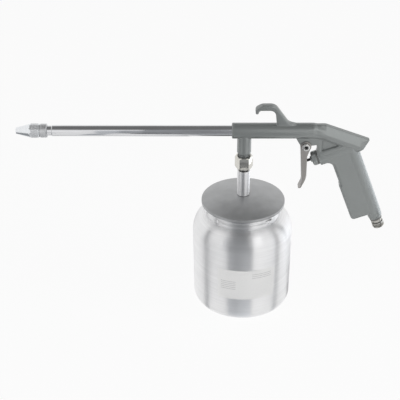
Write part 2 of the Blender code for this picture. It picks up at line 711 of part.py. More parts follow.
nose_low = HOOK_SEAT - HOOK_NOSE_DROP
nose_back = HOOK_NOSE_X + HOOK_NOSE_THICK
hook_end = HOOK_ROOT_X + HOOK_FOOT
hook_corners = [(HOOK_ROOT_X + HOOK_RAKE, BARREL_SINK, 0.0),
                (HOOK_ROOT_X - HOOK_RAKE, HOOK_SEAT, HOOK_ARCH_ROUND),
                (nose_back + HOOK_RAKE, HOOK_SEAT, HOOK_ARCH_ROUND / 2),
                (nose_back, nose_low, HOOK_NOSE_ROUND),
                (HOOK_NOSE_X + HOOK_RAKE / 2, nose_low, HOOK_NOSE_ROUND),
                (HOOK_NOSE_X, HOOK_TOP - HOOK_BROW, HOOK_BROW),
                (HOOK_NOSE_X + HOOK_NOSE_THICK * 2, HOOK_TOP, HOOK_TOP_ROUND),
                (HOOK_ROOT_X - HOOK_RAKE, HOOK_TOP, HOOK_TOP_ROUND),
                (HOOK_ROOT_X + HOOK_BACK, BARREL_RADIUS * 1.2, HOOK_FOOT_ROUND),
                (hook_end, BARREL_RADIUS * 0.88, 0.0), (hook_end, BARREL_SINK, 0.0)]
hook = plate("hook", rounded(hook_corners), HOOK_HALF, gun, None, HOOK_EDGE, 1)

housing_lift = math.radians(GRIP_TILT)


def from_grip(along, up):
    """A point given along the valve's axis and up the grip, in the barrel's X and Z."""
    return (GRIP_X + along * math.cos(housing_lift) - up * math.sin(housing_lift),
            -GRIP_DROP + along * math.sin(housing_lift) + up * math.cos(housing_lift))


housing_lip = from_grip(-HOUSING_FRONT + EDGE_WIDE, HOUSING_RADIUS * 0.8)
lug_back = from_grip(-HOUSING_FRONT + LUG_OVERLAP, 0.0)
lug_low = -PIVOT_DROP - LUG_RADIUS
lug_corners = [(LUG_FRONT_X, -BARREL_SINK, 0.0), (LUG_FRONT_X, -BARREL_RADIUS, LUG_ROUND / 2),
               (PIVOT_X - LUG_RADIUS, -PIVOT_DROP - LUG_SHOULDER, LUG_ROUND),
               (PIVOT_X - LUG_FOOT, lug_low, LUG_ROUND), (PIVOT_X + LUG_FOOT, lug_low, LUG_ROUND),
               (PIVOT_X + LUG_RADIUS, -PIVOT_DROP, LUG_ROUND),
               (housing_lip[0] - GAP, -PIVOT_DROP + LUG_SHOULDER, LUG_SHOULDER),
               (*housing_lip, 0.0), (*lug_back, 0.0), (lug_back[0], -BARREL_SINK, 0.0)]
lug = plate("lug", rounded(lug_corners), LUG_HALF, gun, None, LUG_EDGE, 1)
web_corners = [(lug_back[0] - CUT_PAST, -BARREL_SINK), lug_back, (GRIP_X, -GRIP_DROP),
               (GRIP_X - WEB_SHORT, -BARREL_SINK)]
web = plate("web", web_corners, WEB_HALF, gun)


def ridge(x):
    """Height of the tail's ridge."""
    return BARREL_RADIUS * 0.95 - max(0.0, x - TAIL_FALL_X) * math.tan(math.radians(TAIL_SLOPE))


def tail_ring(x, back, wide_half, depth):
    """One section of the tail: ridge, facet, widest line and underside; back draws its low points forward."""
    top = ridge(x)
    deep = depth - FACET_DEPTH
    right = [(x, TAIL_TOP_HALF, top),
             (x - back * 0.25, (TAIL_TOP_HALF + wide_half) / 2, top - FACET_DEPTH / 2),
             (x - back * 0.5, wide_half, top - FACET_DEPTH),
             (x - back * 0.75, wide_half * 0.95, top - FACET_DEPTH - deep * 0.55),
             (x - back, wide_half * 0.72, top - depth)]
    return right + [(px, -py, pz) for px, py, pz in reversed(right)]


right_turns = (70, 45, -5, -45, -75)
turns = right_turns + tuple(180 - turn for turn in reversed(right_turns))
lap_radius = BARREL_RADIUS * 0.998
lap_x = BARREL_REAR - TAIL_LAP
lap_ring = []
for turn in turns:
    angle = math.radians(turn)
    lap_ring.append((lap_x, lap_radius * math.cos(angle), lap_radius * math.sin(angle)))
tail_rings = [lap_ring,
              tail_ring(TAIL_FALL_X + TAIL_LAP / 2, 0.0, TAIL_WIDE_HALF, TAIL_DEPTH),
              tail_ring(TAIL_TIP_X - TAIL_TIP_LENGTH, TAIL_TIP_BACK * 0.4, TAIL_WIDE_HALF * 0.97,
                        TAIL_DEPTH * 0.97),
              tail_ring(TAIL_TIP_X, TAIL_TIP_BACK, TAIL_WIDE_HALF * 0.82, TAIL_DEPTH * 0.8)]
tail = loft("tail", tail_rings, gun)

housing_profile = [(0.0, HOUSING_REAR), (HOUSING_RADIUS, HOUSING_REAR),
                   (HOUSING_RADIUS, -HOUSING_FRONT + EDGE), (HOUSING_RADIUS - EDGE, -HOUSING_FRONT),
                   (0.0, -HOUSING_FRONT)]
housing = turned("housing", housing_profile, grip, None, "X")
tube_profile = [(0.0, TUBE_TOP), (TUBE_RADIUS, TUBE_TOP), (TUBE_RADIUS, -TUBE_LENGTH + COLLAR_HEIGHT),
                (COLLAR_RADIUS, -TUBE_LENGTH + COLLAR_HEIGHT - EDGE),
                (COLLAR_RADIUS, -TUBE_LENGTH + COLLAR_TAPER), (COLLAR_FOOT, -TUBE_LENGTH),
                (0.0, -TUBE_LENGTH)]
tube = turned("tube", tube_profile, grip)
housing_side = HOUSING_RADIUS - HOUSING_INSET
plate_mouth = -HOUSING_FRONT + EDGE
plate_bottom = -TUBE_LENGTH + PLATE_LIFT
grip_corners = [(-PLATE_FRONT, plate_bottom, PLATE_ROUND),
                (-PLATE_FRONT, -STEP_DROP - STEP_HEIGHT, STEP_ROUND),
                (-NECK_FRONT, -STEP_DROP, STEP_ROUND), (-NECK_FRONT, -housing_side, NECK_ROUND),
                (plate_mouth, -housing_side, 0.0), (plate_mouth, housing_side, 0.0),
                (-NECK_BACK, housing_side, 0.0), (PLATE_BACK, NECK_TOP, 0.0),
                (PLATE_BACK, plate_bottom, 0.0)]
handle = plate("handle", rounded(grip_corners), PLATE_HALF, grip, None, PLATE_EDGE, 3)
combine(body, "UNION", branch, hook, lug, web, tail, housing, tube, handle)

socket_end = -BARREL_FRONT + LANCE_SOCKET
lance_hole = LANCE_RADIUS + GAP
front_open = -BARREL_FRONT - CUT_PAST
front_profile = [(0.0, CHAMBER_REAR), (CHAMBER_RADIUS, CHAMBER_REAR), (CHAMBER_RADIUS, socket_end),
                 (lance_hole, socket_end), (lance_hole, front_open), (0.0, front_open)]
front_bore = turned("front_bore", front_profile, gun, None, "X")
air_bore = rod("air_bore", AIR_BORE, CHAMBER_REAR - CUT_PAST, AIR_BORE_REAR, gun, "X")
fluid_bore = rod("fluid_bore", FLUID_BORE, branch_end - CUT_PAST, 0.0, gun)
thread_end = -HOUSING_FRONT + BUSH_SPIGOT + 2 * GAP
bush_hole = BUSH_SPIGOT_RADIUS + THREAD_GAP
valve_open = -HOUSING_FRONT - CUT_PAST
valve_profile = [(0.0, VALVE_REAR), (VALVE_BORE, VALVE_REAR), (VALVE_BORE, thread_end),
                 (bush_hole, thread_end), (bush_hole, valve_open), (0.0, valve_open)]
valve_bore = turned("valve_bore", valve_profile, grip, None, "X")
nipple_hole = NIPPLE_SPIGOT_RADIUS + THREAD_GAP
nipple_top = -TUBE_LENGTH + NIPPLE_SPIGOT
foot_open = -TUBE_LENGTH - CUT_PAST
tube_bore_profile = [(0.0, TUBE_BORE_TOP), (TUBE_BORE, TUBE_BORE_TOP), (TUBE_BORE, nipple_top + GAP),
                     (nipple_hole, nipple_top + GAP), (nipple_hole, foot_open), (0.0, foot_open)]
tube_bore = turned("tube_bore", tube_bore_profile, grip)
lug_through = LUG_HALF + CUT_PAST
pivot_hole = rod("pivot_hole", SCREW_RADIUS + GAP, -lug_through, lug_through, pivot, "Y")

# Drilling from the room in front of the valve seat up to the barrel's air way.
room_place = from_grip(thread_end + FRONT_ROOM / 2, 0.0)
room = Vector((room_place[0], 0.0, room_place[1]))
lead = Vector((AIR_BORE_REAR - PORT_SHORT, 0.0, 0.0)) - room
port = rod("air_port", PORT_RADIUS, 0.0, lead.length, gun)
port.location = room
port.rotation_euler = lead.to_track_quat("Z", "Y").to_euler()
combine(body, "DIFFERENCE", front_bore, air_bore, fluid_bore, valve_bore, tube_bore, pivot_hole, port)

# Lance, and the lock ring and nozzle screwed on its front end.
ring_back = -BARREL_FRONT - LANCE_EXPOSED
ring_front = ring_back - RING_LENGTH
nozzle_back = ring_front - GAP
nozzle_front = nozzle_back - NOZZLE_LENGTH
bore_end = nozzle_back - NOZZLE_SOCKET
lance_front = bore_end + GAP
lance_inside = LANCE_RADIUS - LANCE_WALL
thread_radius = LANCE_RADIUS - LANCE_RELIEF
relief_end = ring_back + RELIEF_SHOWS
lance_profile = [(lance_inside, socket_end - GAP), (LANCE_RADIUS, socket_end - GAP),
                 (LANCE_RADIUS, relief_end + EDGE), (thread_radius, relief_end),
                 (thread_radius, lance_front), (lance_inside, lance_front)]
turned("lance_tube", lance_profile, gun, chrome, "X", MEDIUM)
screw_bore = thread_radius + THREAD_GAP
ring_profile = [(screw_bore, ring_back), (RING_RADIUS - EDGE_WIDE, ring_back),
                (RING_RADIUS, ring_back - EDGE_WIDE), (RING_RADIUS, ring_front + EDGE),
                (RING_RADIUS - EDGE, ring_front), (screw_bore, ring_front)]
turned("lock_ring", ring_profile, gun, chrome, "X", MEDIUM)
cone_back = nozzle_back - NOZZLE_GRIP
hole_start = nozzle_front + NOZZLE_HOLE_DEPTH
nozzle_profile = [(screw_bore, nozzle_back), (NOZZLE_RADIUS - EDGE, nozzle_back),
                  (NOZZLE_RADIUS, nozzle_back - EDGE), (NOZZLE_RADIUS, cone_back),
                  (NOZZLE_CONE_RADIUS, cone_back - EDGE_WIDE), (NOZZLE_TIP_RADIUS, nozzle_front + EDGE),
                  (NOZZLE_TIP_RADIUS - EDGE, nozzle_front), (NOZZLE_HOLE, nozzle_front),
                  (NOZZLE_HOLE, hole_start), (lance_inside, bore_end - EDGE), (screw_bore, bore_end)]
turned("nozzle", nozzle_profile, gun, chrome, "X", MEDIUM)

# Air line from the bush in the barrel to the jet behind the nozzle's hole.
line_hole = LINE_RADIUS + GAP
line_back = CHAMBER_REAR - GAP
jet_front = hole_start + JET_BACK
jet_back = jet_front + JET_LENGTH
jet_floor = jet_back - JET_SOCKET
ring("air_line", LINE_RADIUS - LINE_WALL, LINE_RADIUS, jet_floor + GAP, line_back, gun, brass, "X", COARSE)
ring("air_line_bush", line_hole, CHAMBER_RADIUS - GAP, line_back - LINE_BUSH, line_back, gun, brass, "X",
     COARSE)
jet_profile = [(line_hole, jet_back), (JET_RADIUS, jet_back), (JET_RADIUS, jet_front + JET_TAPER),
               (JET_NOSE, jet_front), (JET_BORE, jet_front), (JET_BORE, jet_floor), (line_hole, jet_floor)]
turned("air_jet", jet_profile, gun, brass, "X", COARSE)
spacer_front = lance_front + SPACER_BACK
spacer_back = spacer_front + SPACER_LENGTH
spacer = ring("line_spacer", line_hole, lance_inside - GAP, spacer_front, spacer_back, gun, ptfe, "X",
              COARSE)
for n in range(SCALLOP_COUNT):
    scallop = rod(f"scallop_{n}", SCALLOP_RADIUS, spacer_front - CUT_PAST, spacer_back + CUT_PAST, gun, "X",
                  SMALL)
    around = math.radians(90 + 360 / SCALLOP_COUNT * n)
    scallop.location = (0.0, lance_inside * math.cos(around), lance_inside * math.sin(around))
    combine(spacer, "DIFFERENCE", scallop)

# Front line of the trigger's web, from its pivot.
finger_x = -TRIGGER_FRONT + TRIGGER_LEAN
web_line = [(-TRIGGER_FRONT, WEB_TOP_Z), (-TRIGGER_FRONT + TRIGGER_LEAN / 2, CURL_Z / 2), (finger_x, CURL_Z)]
for share in (1 / 3, 2 / 3, 1):
    web_line.append((finger_x - LIP_REACH * share ** 2, CURL_Z + (LIP_Z - CURL_Z) * share))

# Valve train: screwed bush with its seal, packing and gland, then seat, stem, poppet and spring.
bush_shoulder = -HOUSING_FRONT - 2 * GAP - BUSH_SEAL
bush_front = bush_shoulder - BUSH_HEAD
bush_end = thread_end - GAP
stem_way = STEM_RADIUS + THREAD_GAP
packing_bore = GLAND_RADIUS + THREAD_GAP
gland_front = bush_front - GLAND_PROUD
gland_end = gland_front + GLAND_LENGTH
pack_floor = gland_end + PACKING_LENGTH + 2 * GAP
bush_profile = [(stem_way, bush_end), (BUSH_SPIGOT_RADIUS, bush_end), (BUSH_SPIGOT_RADIUS, bush_shoulder),
                (BUSH_RADIUS, bush_shoulder)]
bush_profile += rolled(BUSH_RADIUS, bush_front + BUSH_ROUND, BUSH_ROUND_IN, -BUSH_ROUND)
bush_profile += [(packing_bore, bush_front), (packing_bore, pack_floor), (stem_way, pack_floor)]
turned("valve_bush", bush_profile, grip, pressed_steel, "X", MEDIUM)
seam = bush_shoulder + GAP
ring("bush_seal", BUSH_SPIGOT_RADIUS + GAP, BUSH_RADIUS - SEAL_INSET, seam, seam + BUSH_SEAL, grip, rubber,
     "X", MEDIUM)
ring("stem_packing", stem_way, GLAND_RADIUS, gland_end + GAP, pack_floor - GAP, grip, ptfe, "X", COARSE)
gland_profile = [(stem_way, gland_end), (GLAND_RADIUS, gland_end), (GLAND_RADIUS, gland_front + EDGE),
                 (GLAND_RADIUS - EDGE, gland_front), (stem_way, gland_front)]
turned("stem_gland", gland_profile, grip, black_steel, "X", COARSE)
seat_front = thread_end + FRONT_ROOM
seat_back = seat_front + SEAT_LENGTH
ring("valve_seat", SEAT_BORE, VALVE_BORE - GAP, seat_front, seat_back, grip, brass, "X", COARSE)
seal_front = seat_back + GAP
poppet_front = seal_front + POPPET_SEAL + GAP
poppet_back = poppet_front + POPPET_LENGTH
guide_end = poppet_back + GUIDE_LENGTH

# The stem's round tip stops just short of the trigger's web.
web_start = Vector(web_line[0])
web_along = (Vector(web_line[1]) - web_start).normalized()
web_inward = Vector((-web_along.y, web_along.x))
web_face = web_start + web_inward * SHEET + Vector((PIVOT_X, -PIVOT_DROP))
valve_line = Vector((math.cos(housing_lift), math.sin(housing_lift)))
facing = valve_line.dot(web_inward)
web_meets = (web_face - Vector(from_grip(0.0, 0.0))).dot(web_inward) / facing
stem_tip = web_meets + (STEM_RADIUS + GAP) / facing - STEM_RADIUS
stem_profile = [(0.0, guide_end), (STEM_RADIUS, guide_end), (STEM_RADIUS, poppet_back),
                (POPPET_RADIUS, poppet_back), (POPPET_RADIUS, poppet_front), (STEM_RADIUS, poppet_front)]
stem_profile += arc((0.0, stem_tip + STEM_RADIUS), STEM_RADIUS, 0, -90, 4)[:-1]
stem_profile.append((0.0, stem_tip))
turned("valve_stem", stem_profile, grip, black_steel, "X", COARSE)
ring("poppet_seal", STEM_RADIUS + GAP, POPPET_RADIUS - SEAL_INSET, seal_front, seal_front + POPPET_SEAL,
     grip, rubber, "X", COARSE)

spring_start = poppet_back + GAP + SPRING_WIRE
spring_stop = VALVE_REAR - GAP - SPRING_WIRE
spring_count = SPRING_POINTS * SPRING_TURNS
spring_points = []
for i in range(spring_count + 1):
    turn = 2 * math.pi * i / SPRING_POINTS
    along = spring_start + (spring_stop - spring_start) * i / spring_count
    spring_points.append(Vector((along, SPRING_RADIUS * math.cos(turn), SPRING_RADIUS * math.sin(turn))))
coil = bpy.data.curves.new("valve_spring", "CURVE")
coil.dimensions = "3D"
coil.bevel_depth = SPRING_WIRE
coil.bevel_resolution = 1
coil.use_fill_caps = True
coil_line = coil.splines.new("POLY")
coil_line.points.add(len(spring_points) - 1)
for point, place in zip(coil_line.points, spring_points):
    point.co = (*place, 1.0)
coil.materials.append(zinc_steel)
spring = bpy.data.objects.new("valve_spring", coil)
spring.parent = grip
parts.objects.link(spring)
half_turn = SPRING_POINTS // 2
apart = min((a - b).length for i, a in enumerate(spring_points) for b in spring_points[i + half_turn + 1:])
print(f"least gap between turns of the spring: {(apart - 2 * SPRING_WIRE) * 1000:.2f} mm")

# Trigger: a pressed channel, web to the front, hung on a screw through the lug.
ear_inside = LUG_HALF + 2 * GAP
ear_outside = ear_inside + SHEET
web_outline = list(web_line)
for i in range(len(web_line) - 1, -1, -1):
    before = Vector(web_line[max(0, i - 1)])
    after = Vector(web_line[min(len(web_line) - 1, i + 1)])
    along = (after - before).normalized()
    web_outline.append((web_line[i][0] - along.y * SHEET, web_line[i][1] + along.x * SHEET))
trigger = plate("trigger", web_outline, ear_outside, pivot, pressed_steel)
flange = arc((0.0, 0.0), EAR_RADIUS, 200, -40, 14)
flange += [(FLANGE_REAR, -EAR_RADIUS - EAR_NECK), (FLANGE_REAR, FLANGE_TURN_Z)]
for share in (1 / 3, 2 / 3, 1):
    flange.append((FLANGE_REAR + (FLANGE_END_X - FLANGE_REAR) * share ** FLANGE_CURVE,
                   FLANGE_TURN_Z + (FLANGE_END_Z - FLANGE_TURN_Z) * share))
flange += [(x + SHEET * 0.4, z) for x, z in web_line[3::-1]]
for side in (-1.0, 1.0):
    ear = plate(f"ear_{side:+.0f}", flange, SHEET / 2 - EAR_INSET, pivot)
    ear.location = (0.0, side * (ear_inside + SHEET / 2), 0.0)
    combine(trigger, "UNION", ear)
ear_through = ear_outside + CUT_PAST
ear_hole = rod("ear_hole", SCREW_RADIUS + GAP, -ear_through, ear_through, pivot, "Y")
combine(trigger, "DIFFERENCE", ear_hole)
lip_half = ear_outside + EDGE
lip_outline = rounded([(-lip_half, LIP_Z + LIP_TRIM, LIP_ROUND), (lip_half, LIP_Z + LIP_TRIM, LIP_ROUND),
                       (lip_half, EAR_RADIUS + EDGE, 0.0), (-lip_half, EAR_RADIUS + EDGE, 0.0)])
lip = plate("lip_shape", lip_outline, 4 * EAR_RADIUS, pivot)
lip.rotation_euler = (0.0, 0.0, math.pi / 2)
combine(trigger, "INTERSECT", lip)

# Pivot screw, head towards -Y, and its nut.
head_under = ear_outside + GAP
head_face = -head_under - SCREW_HEAD
nut_end = head_under + PIVOT_NUT
screw_profile = [(0.0, nut_end + EDGE), (SCREW_RADIUS - EDGE, nut_end + EDGE), (SCREW_RADIUS, nut_end),
                 (SCREW_RADIUS, -head_under), (SCREW_HEAD_RADIUS, -head_under)]
screw_profile += rolled(SCREW_HEAD_RADIUS, -head_under - SCREW_HEAD_SIDE,
                        SCREW_HEAD_RADIUS - SCREW_FACE_RADIUS, SCREW_HEAD_SIDE - SCREW_HEAD)
screw_profile.append((0.0, head_face))
pivot_screw = turned("trigger_screw", screw_profile, pivot, zinc_steel, "Y", COARSE)
socket = prism("screw_socket", SOCKET_FLATS, head_face - CUT_PAST, head_face + SOCKET_DEPTH, pivot, "Y")
combine(pivot_screw, "DIFFERENCE", socket)
hexagon("trigger_nut", PIVOT_NUT_FLATS, SCREW_RADIUS + THREAD_GAP, head_under, nut_end, pivot, zinc_steel,
        "Y", EDGE)

# Air inlet screwed up into the grip.
inlet_top = -TUBE_LENGTH - GAP
inlet_shoulder = inlet_top - INLET_SEAL - GAP
groove_top = inlet_shoulder - NIPPLE_SHOULDER
thread_top = groove_top - NIPPLE_GROOVE
nipple_end = thread_top - NIPPLE_THREAD
shoulder_radius = COLLAR_FOOT - SEAL_INSET
groove_radius = NIPPLE_RADIUS - NIPPLE_GROOVE_DEPTH
nipple_profile = [(NIPPLE_BORE, nipple_top), (NIPPLE_SPIGOT_RADIUS, nipple_top),
                  (NIPPLE_SPIGOT_RADIUS, inlet_shoulder), (shoulder_radius, inlet_shoulder),
                  (shoulder_radius, groove_top + EDGE), (groove_radius, groove_top),
                  (groove_radius, thread_top + EDGE), (NIPPLE_RADIUS, thread_top),
                  (NIPPLE_RADIUS, nipple_end + EDGE_WIDE), (NIPPLE_RADIUS - EDGE_WIDE, nipple_end),
                  (NIPPLE_BORE, nipple_end)]
turned("air_inlet", nipple_profile, grip, zinc_steel, "Z", MEDIUM)
ring("inlet_seal", NIPPLE_SPIGOT_RADIUS + GAP, shoulder_radius, inlet_top - INLET_SEAL, inlet_top, grip,
     fibre, "Z", COARSE)
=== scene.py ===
"""Looks of a siphon-feed washing gun: finer skins over its solids, finishes, light and camera.

Lengths are metres in the frame of the solids: the origin is the middle of the cup's base, +Z is up and the
lance points along -X.
"""
import math

import bmesh
import bpy
from mathutils import Matrix, Vector


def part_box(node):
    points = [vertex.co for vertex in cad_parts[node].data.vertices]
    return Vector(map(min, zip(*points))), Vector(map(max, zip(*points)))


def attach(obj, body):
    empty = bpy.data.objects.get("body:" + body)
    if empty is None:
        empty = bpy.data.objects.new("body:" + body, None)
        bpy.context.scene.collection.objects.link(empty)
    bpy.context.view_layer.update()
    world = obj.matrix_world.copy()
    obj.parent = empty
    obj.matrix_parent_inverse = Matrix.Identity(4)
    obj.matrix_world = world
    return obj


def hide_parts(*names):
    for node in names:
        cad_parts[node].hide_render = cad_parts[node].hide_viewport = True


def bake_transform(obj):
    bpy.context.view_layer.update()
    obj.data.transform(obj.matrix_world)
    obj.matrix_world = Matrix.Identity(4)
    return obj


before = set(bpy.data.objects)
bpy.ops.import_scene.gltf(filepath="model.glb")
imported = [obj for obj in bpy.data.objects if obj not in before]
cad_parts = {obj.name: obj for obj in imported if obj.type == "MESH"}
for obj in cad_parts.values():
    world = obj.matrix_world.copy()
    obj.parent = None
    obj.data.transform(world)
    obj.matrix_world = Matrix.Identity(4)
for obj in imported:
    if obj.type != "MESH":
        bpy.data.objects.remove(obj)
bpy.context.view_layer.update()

# Places read from the solids
cup_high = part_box("cup")[1]
lid_low, lid_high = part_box("cup_lid")
gasket_low, gasket_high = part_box("lid_gasket")
riser_low, riser_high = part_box("riser")
nut_low, nut_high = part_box("union_nut")
lance_low, lance_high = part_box("lance_tube")
ring_low, ring_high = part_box("lock_ring")
nozzle_low, nozzle_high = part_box("nozzle")
barrel_z = (lance_low.z + lance_high.z) / 2

# Frames of the gun's regions; a turned piece is made round Z and then laid along one of these
GRIP_X = 0.114
GRIP_DROP = 0.0193
GRIP_TILT = 20.4              # degrees from upright
PIVOT_X = 0.0658
PIVOT_DROP = 0.016
along_z = Matrix.Identity(4)
along_barrel = Matrix.Translation((0.0, 0.0, barrel_z)) @ Matrix.Rotation(math.pi / 2, 4, "Y")
along_grip = (Matrix.Translation((GRIP_X, 0.0, barrel_z - GRIP_DROP))
              @ Matrix.Rotation(math.radians(-GRIP_TILT), 4, "Y"))
along_valve = along_grip @ Matrix.Rotation(math.pi / 2, 4, "Y")
along_pivot = (Matrix.Translation((PIVOT_X, 0.0, barrel_z - PIVOT_DROP))
               @ Matrix.Rotation(-math.pi / 2, 4, "X"))

# How finely round things are cut
FINE_TURN = 160
TURN = 96
SMALL_TURN = 64
SHARP = 38.0                  # degrees between faces from which an edge is shaded sharp
SKIN_SHARP = 60.0             # the same for skins that are smooth all over
CUT_PAST = 0.001              # how far a cutting tool reaches past what it cuts
FIT_GAP = 0.00025             # between pieces that stand against each other


# Shapes

def arc(centre, radius, start, stop, count):
    """Points on an arc from start to stop degrees."""
    points = []
    for i in range(count + 1):
        angle = math.radians(start + (stop - start) * i / count)
        points.append((centre[0] + radius * math.cos(angle), centre[1] + radius * math.sin(angle)))
    return points


def eased(corners, count=4):
    """A closed outline from (radius, height, ease) corners, each corner rounded by its ease."""
    outline = []
    total = len(corners)
    for i in range(total):
        here = Vector(corners[i][:2])
        ease = corners[i][2]
        if ease <= 0.0:
            outline.append(tuple(here))
            continue
        back = (Vector(corners[i - 1][:2]) - here).normalized()
        ahead = (Vector(corners[(i + 1) % total][:2]) - here).normalized()
        for k in range(count + 1):
            t = k / count
            outline.append(tuple(here + back * ease * (1 - t) ** 2 + ahead * ease * t ** 2))
    return outline


def lathe(profile, steps):
    """A bmesh turned round Z from (radius, height) points; a profile that doesn't reach the axis closes."""
    bm = bmesh.new()
    rings = []
    for radius, height in profile:
        if radius <= 0.0:
            rings.append([bm.verts.new((0.0, 0.0, height))])
            continue
        ring = []
        for k in range(steps):
            angle = 2 * math.pi * k / steps
            ring.append(bm.verts.new((radius * math.cos(angle), radius * math.sin(angle), height)))
        rings.append(ring)
    pairs = list(zip(rings, rings[1:]))
    if profile[0][0] > 0.0:
        pairs.append((rings[-1], rings[0]))
    for near, far in pairs:
        for k in range(steps):
            after = k + 1
            corners = [near[k % len(near)], near[after % len(near)],
                       far[after % len(far)], far[k % len(far)]]
            bm.faces.new(list(dict.fromkeys(corners)))
    bmesh.ops.recalc_face_normals(bm, faces=bm.faces)
    return bm


def as_mesh(name, bm):
    """A mesh from a bmesh, which is then freed."""
    mesh = bpy.data.meshes.new(name)
    bm.to_mesh(mesh)
    bm.free()
    return mesh


def added(name, data):
    """A new object in the scene."""
    made = bpy.data.objects.new(name, data)
    bpy.context.scene.collection.objects.link(made)
    return made


def piece(name, bm, place, look, body, nodes=(), sharp=SHARP):
    """One finished piece from a bmesh: put in its place, shaded, dressed and tied to its body."""
    mesh = as_mesh(name, bm)
    mesh.transform(place)
    return dress(name, mesh, look, body, nodes, sharp)


def dress(name, mesh, look, body, nodes=(), sharp=SHARP):
    """One finished piece from a mesh that is already in its place."""
    mesh.shade_smooth()
    mesh.set_sharp_from_angle(angle=math.radians(sharp))
    mesh.materials.clear()
    mesh.materials.append(look)
    made = added(name, mesh)
    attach(made, body)
    if nodes:
        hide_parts(*nodes)
    return made


def turned(name, profile, place, look, body, nodes=(), steps=TURN):
    """A turned piece."""
    return piece(name, lathe(profile, steps), place, look, body, nodes)


def worked(name, bm, settings):
    """The mesh that a bmesh becomes under modifiers, given as (kind, values) in order."""
    holder = added(name, as_mesh(name, bm))
    for kind, values in settings:
        step = holder.modifiers.new(kind, kind)
        for key, value in values.items():
            setattr(step, key, value)
    return plain_mesh(holder)


def plain_mesh(holder):
    """The evaluated mesh of an object, which is then removed."""
    bpy.context.view_layer.update()
    graph = bpy.context.evaluated_depsgraph_get()
    mesh = bpy.data.meshes.new_from_object(holder.evaluated_get(graph))
    bpy.data.objects.remove(holder, do_unlink=True)
    return mesh


def cutter(bm):
    """A helper object for a Boolean, kept out of the render."""
    made = added("cutter", as_mesh("cutter", bm))
    made.hide_render = True
    return made


def hexagon(across_flats, low, high):
    """A bmesh of a hexagonal prism whose flats face along Y."""
    bm = bmesh.new()
    rows = []
    for height in (low, high):
        rows.append([bm.verts.new((x, y, height)) for x, y in
                     arc((0.0, 0.0), across_flats / math.sqrt(3), 0, 300, 5)])
    bm.faces.new(rows[0])
    bm.faces.new(rows[1])
    for i in range(6):
        j = (i + 1) % 6
        bm.faces.new((rows[0][i], rows[0][j], rows[1][j], rows[1][i]))
    bmesh.ops.recalc_face_normals(bm, faces=bm.faces)
    return bm


def cut_piece(name, bm, how, tool, ease, place, look, body, nodes):
    """A piece whose bmesh is cut by a tool (INTERSECT or DIFFERENCE), its edges then eased."""
    knife = cutter(tool)
    steps = [("BOOLEAN", {"operation": how, "object": knife, "solver": "EXACT"}),
             ("BEVEL", {"width": ease, "segments": 2, "limit_method": "ANGLE",
                        "angle_limit": math.radians(28.0), "use_clamp_overlap": True})]
    mesh = worked(name, bm, steps)
    bpy.data.objects.remove(knife, do_unlink=True)
    mesh.transform(place)
    return dress(name, mesh, look, body, nodes)


def smooth_step(share):
    """0 below 0, 1 above 1 and a soft rise between."""
    share = min(1.0, max(0.0, share))
    return share * share * (3.0 - 2.0 * share)


# Finishes

class Nodes:
    """Short words for the nodes of a tree."""

    def __init__(self, tree):
        self.tree = tree

    def fill(self, socket, value):
        """Sets a socket from a value or links it to another node's socket."""
        if isinstance(value, bpy.types.NodeSocket):
            self.tree.links.new(value, socket)
        else:
            socket.default_value = value

    def node(self, kind, **links):
        """A node whose inputs are set by name from values or from other nodes' sockets."""
        made = self.tree.nodes.new(kind)
        for key, value in links.items():
            self.fill(made.inputs[key.replace("_", " ")], value)
        return made

    def span(self, value, low, high, start=0.3, stop=0.7):
        """A value from start to stop mapped to low to high."""
        made = self.node("ShaderNodeMapRange", Value=value, From_Min=start, From_Max=stop, To_Min=low,
                         To_Max=high)
        return made.outputs["Result"]

    def math(self, operation, first, second=0.0):
        """Arithmetic on one value or two."""
        made = self.node("ShaderNodeMath")
        made.operation = operation
        self.fill(made.inputs[0], first)
        self.fill(made.inputs[1], second)
        return made.outputs["Value"]

    def ramp(self, value, *stops):
        """A colour ramp from (position, colour) stops."""
        made = self.node("ShaderNodeValToRGB", Fac=value)
        elements = made.color_ramp.elements
        while len(elements) < len(stops):
            elements.new(0.5)
        for element, (position, colour) in zip(elements, stops):
            element.position = position
            element.color = (*colour, 1.0)
        return made.outputs["Color"]

    def blend(self, share, first, second):
        """Two colours mixed by a share; in this node the colours are sockets 6 and 7, the result is 2."""
        made = self.node("ShaderNodeMix")
        made.data_type = "RGBA"
        self.fill(made.inputs[0], share)
        self.fill(made.inputs[6], first)
        self.fill(made.inputs[7], second)
        return made.outputs[2]

    def mixed(self, share, first, second):
        """Two shaders mixed by a share."""
        made = self.node("ShaderNodeMixShader")
        for socket, value in zip(made.inputs, (share, first, second)):
            self.fill(socket, value)
        return made.outputs["Shader"]


def bare_nodes(holder):
    """The nodes of a material or a world, emptied."""
    holder.use_nodes = True
    holder.node_tree.nodes.clear()
    return Nodes(holder.node_tree)


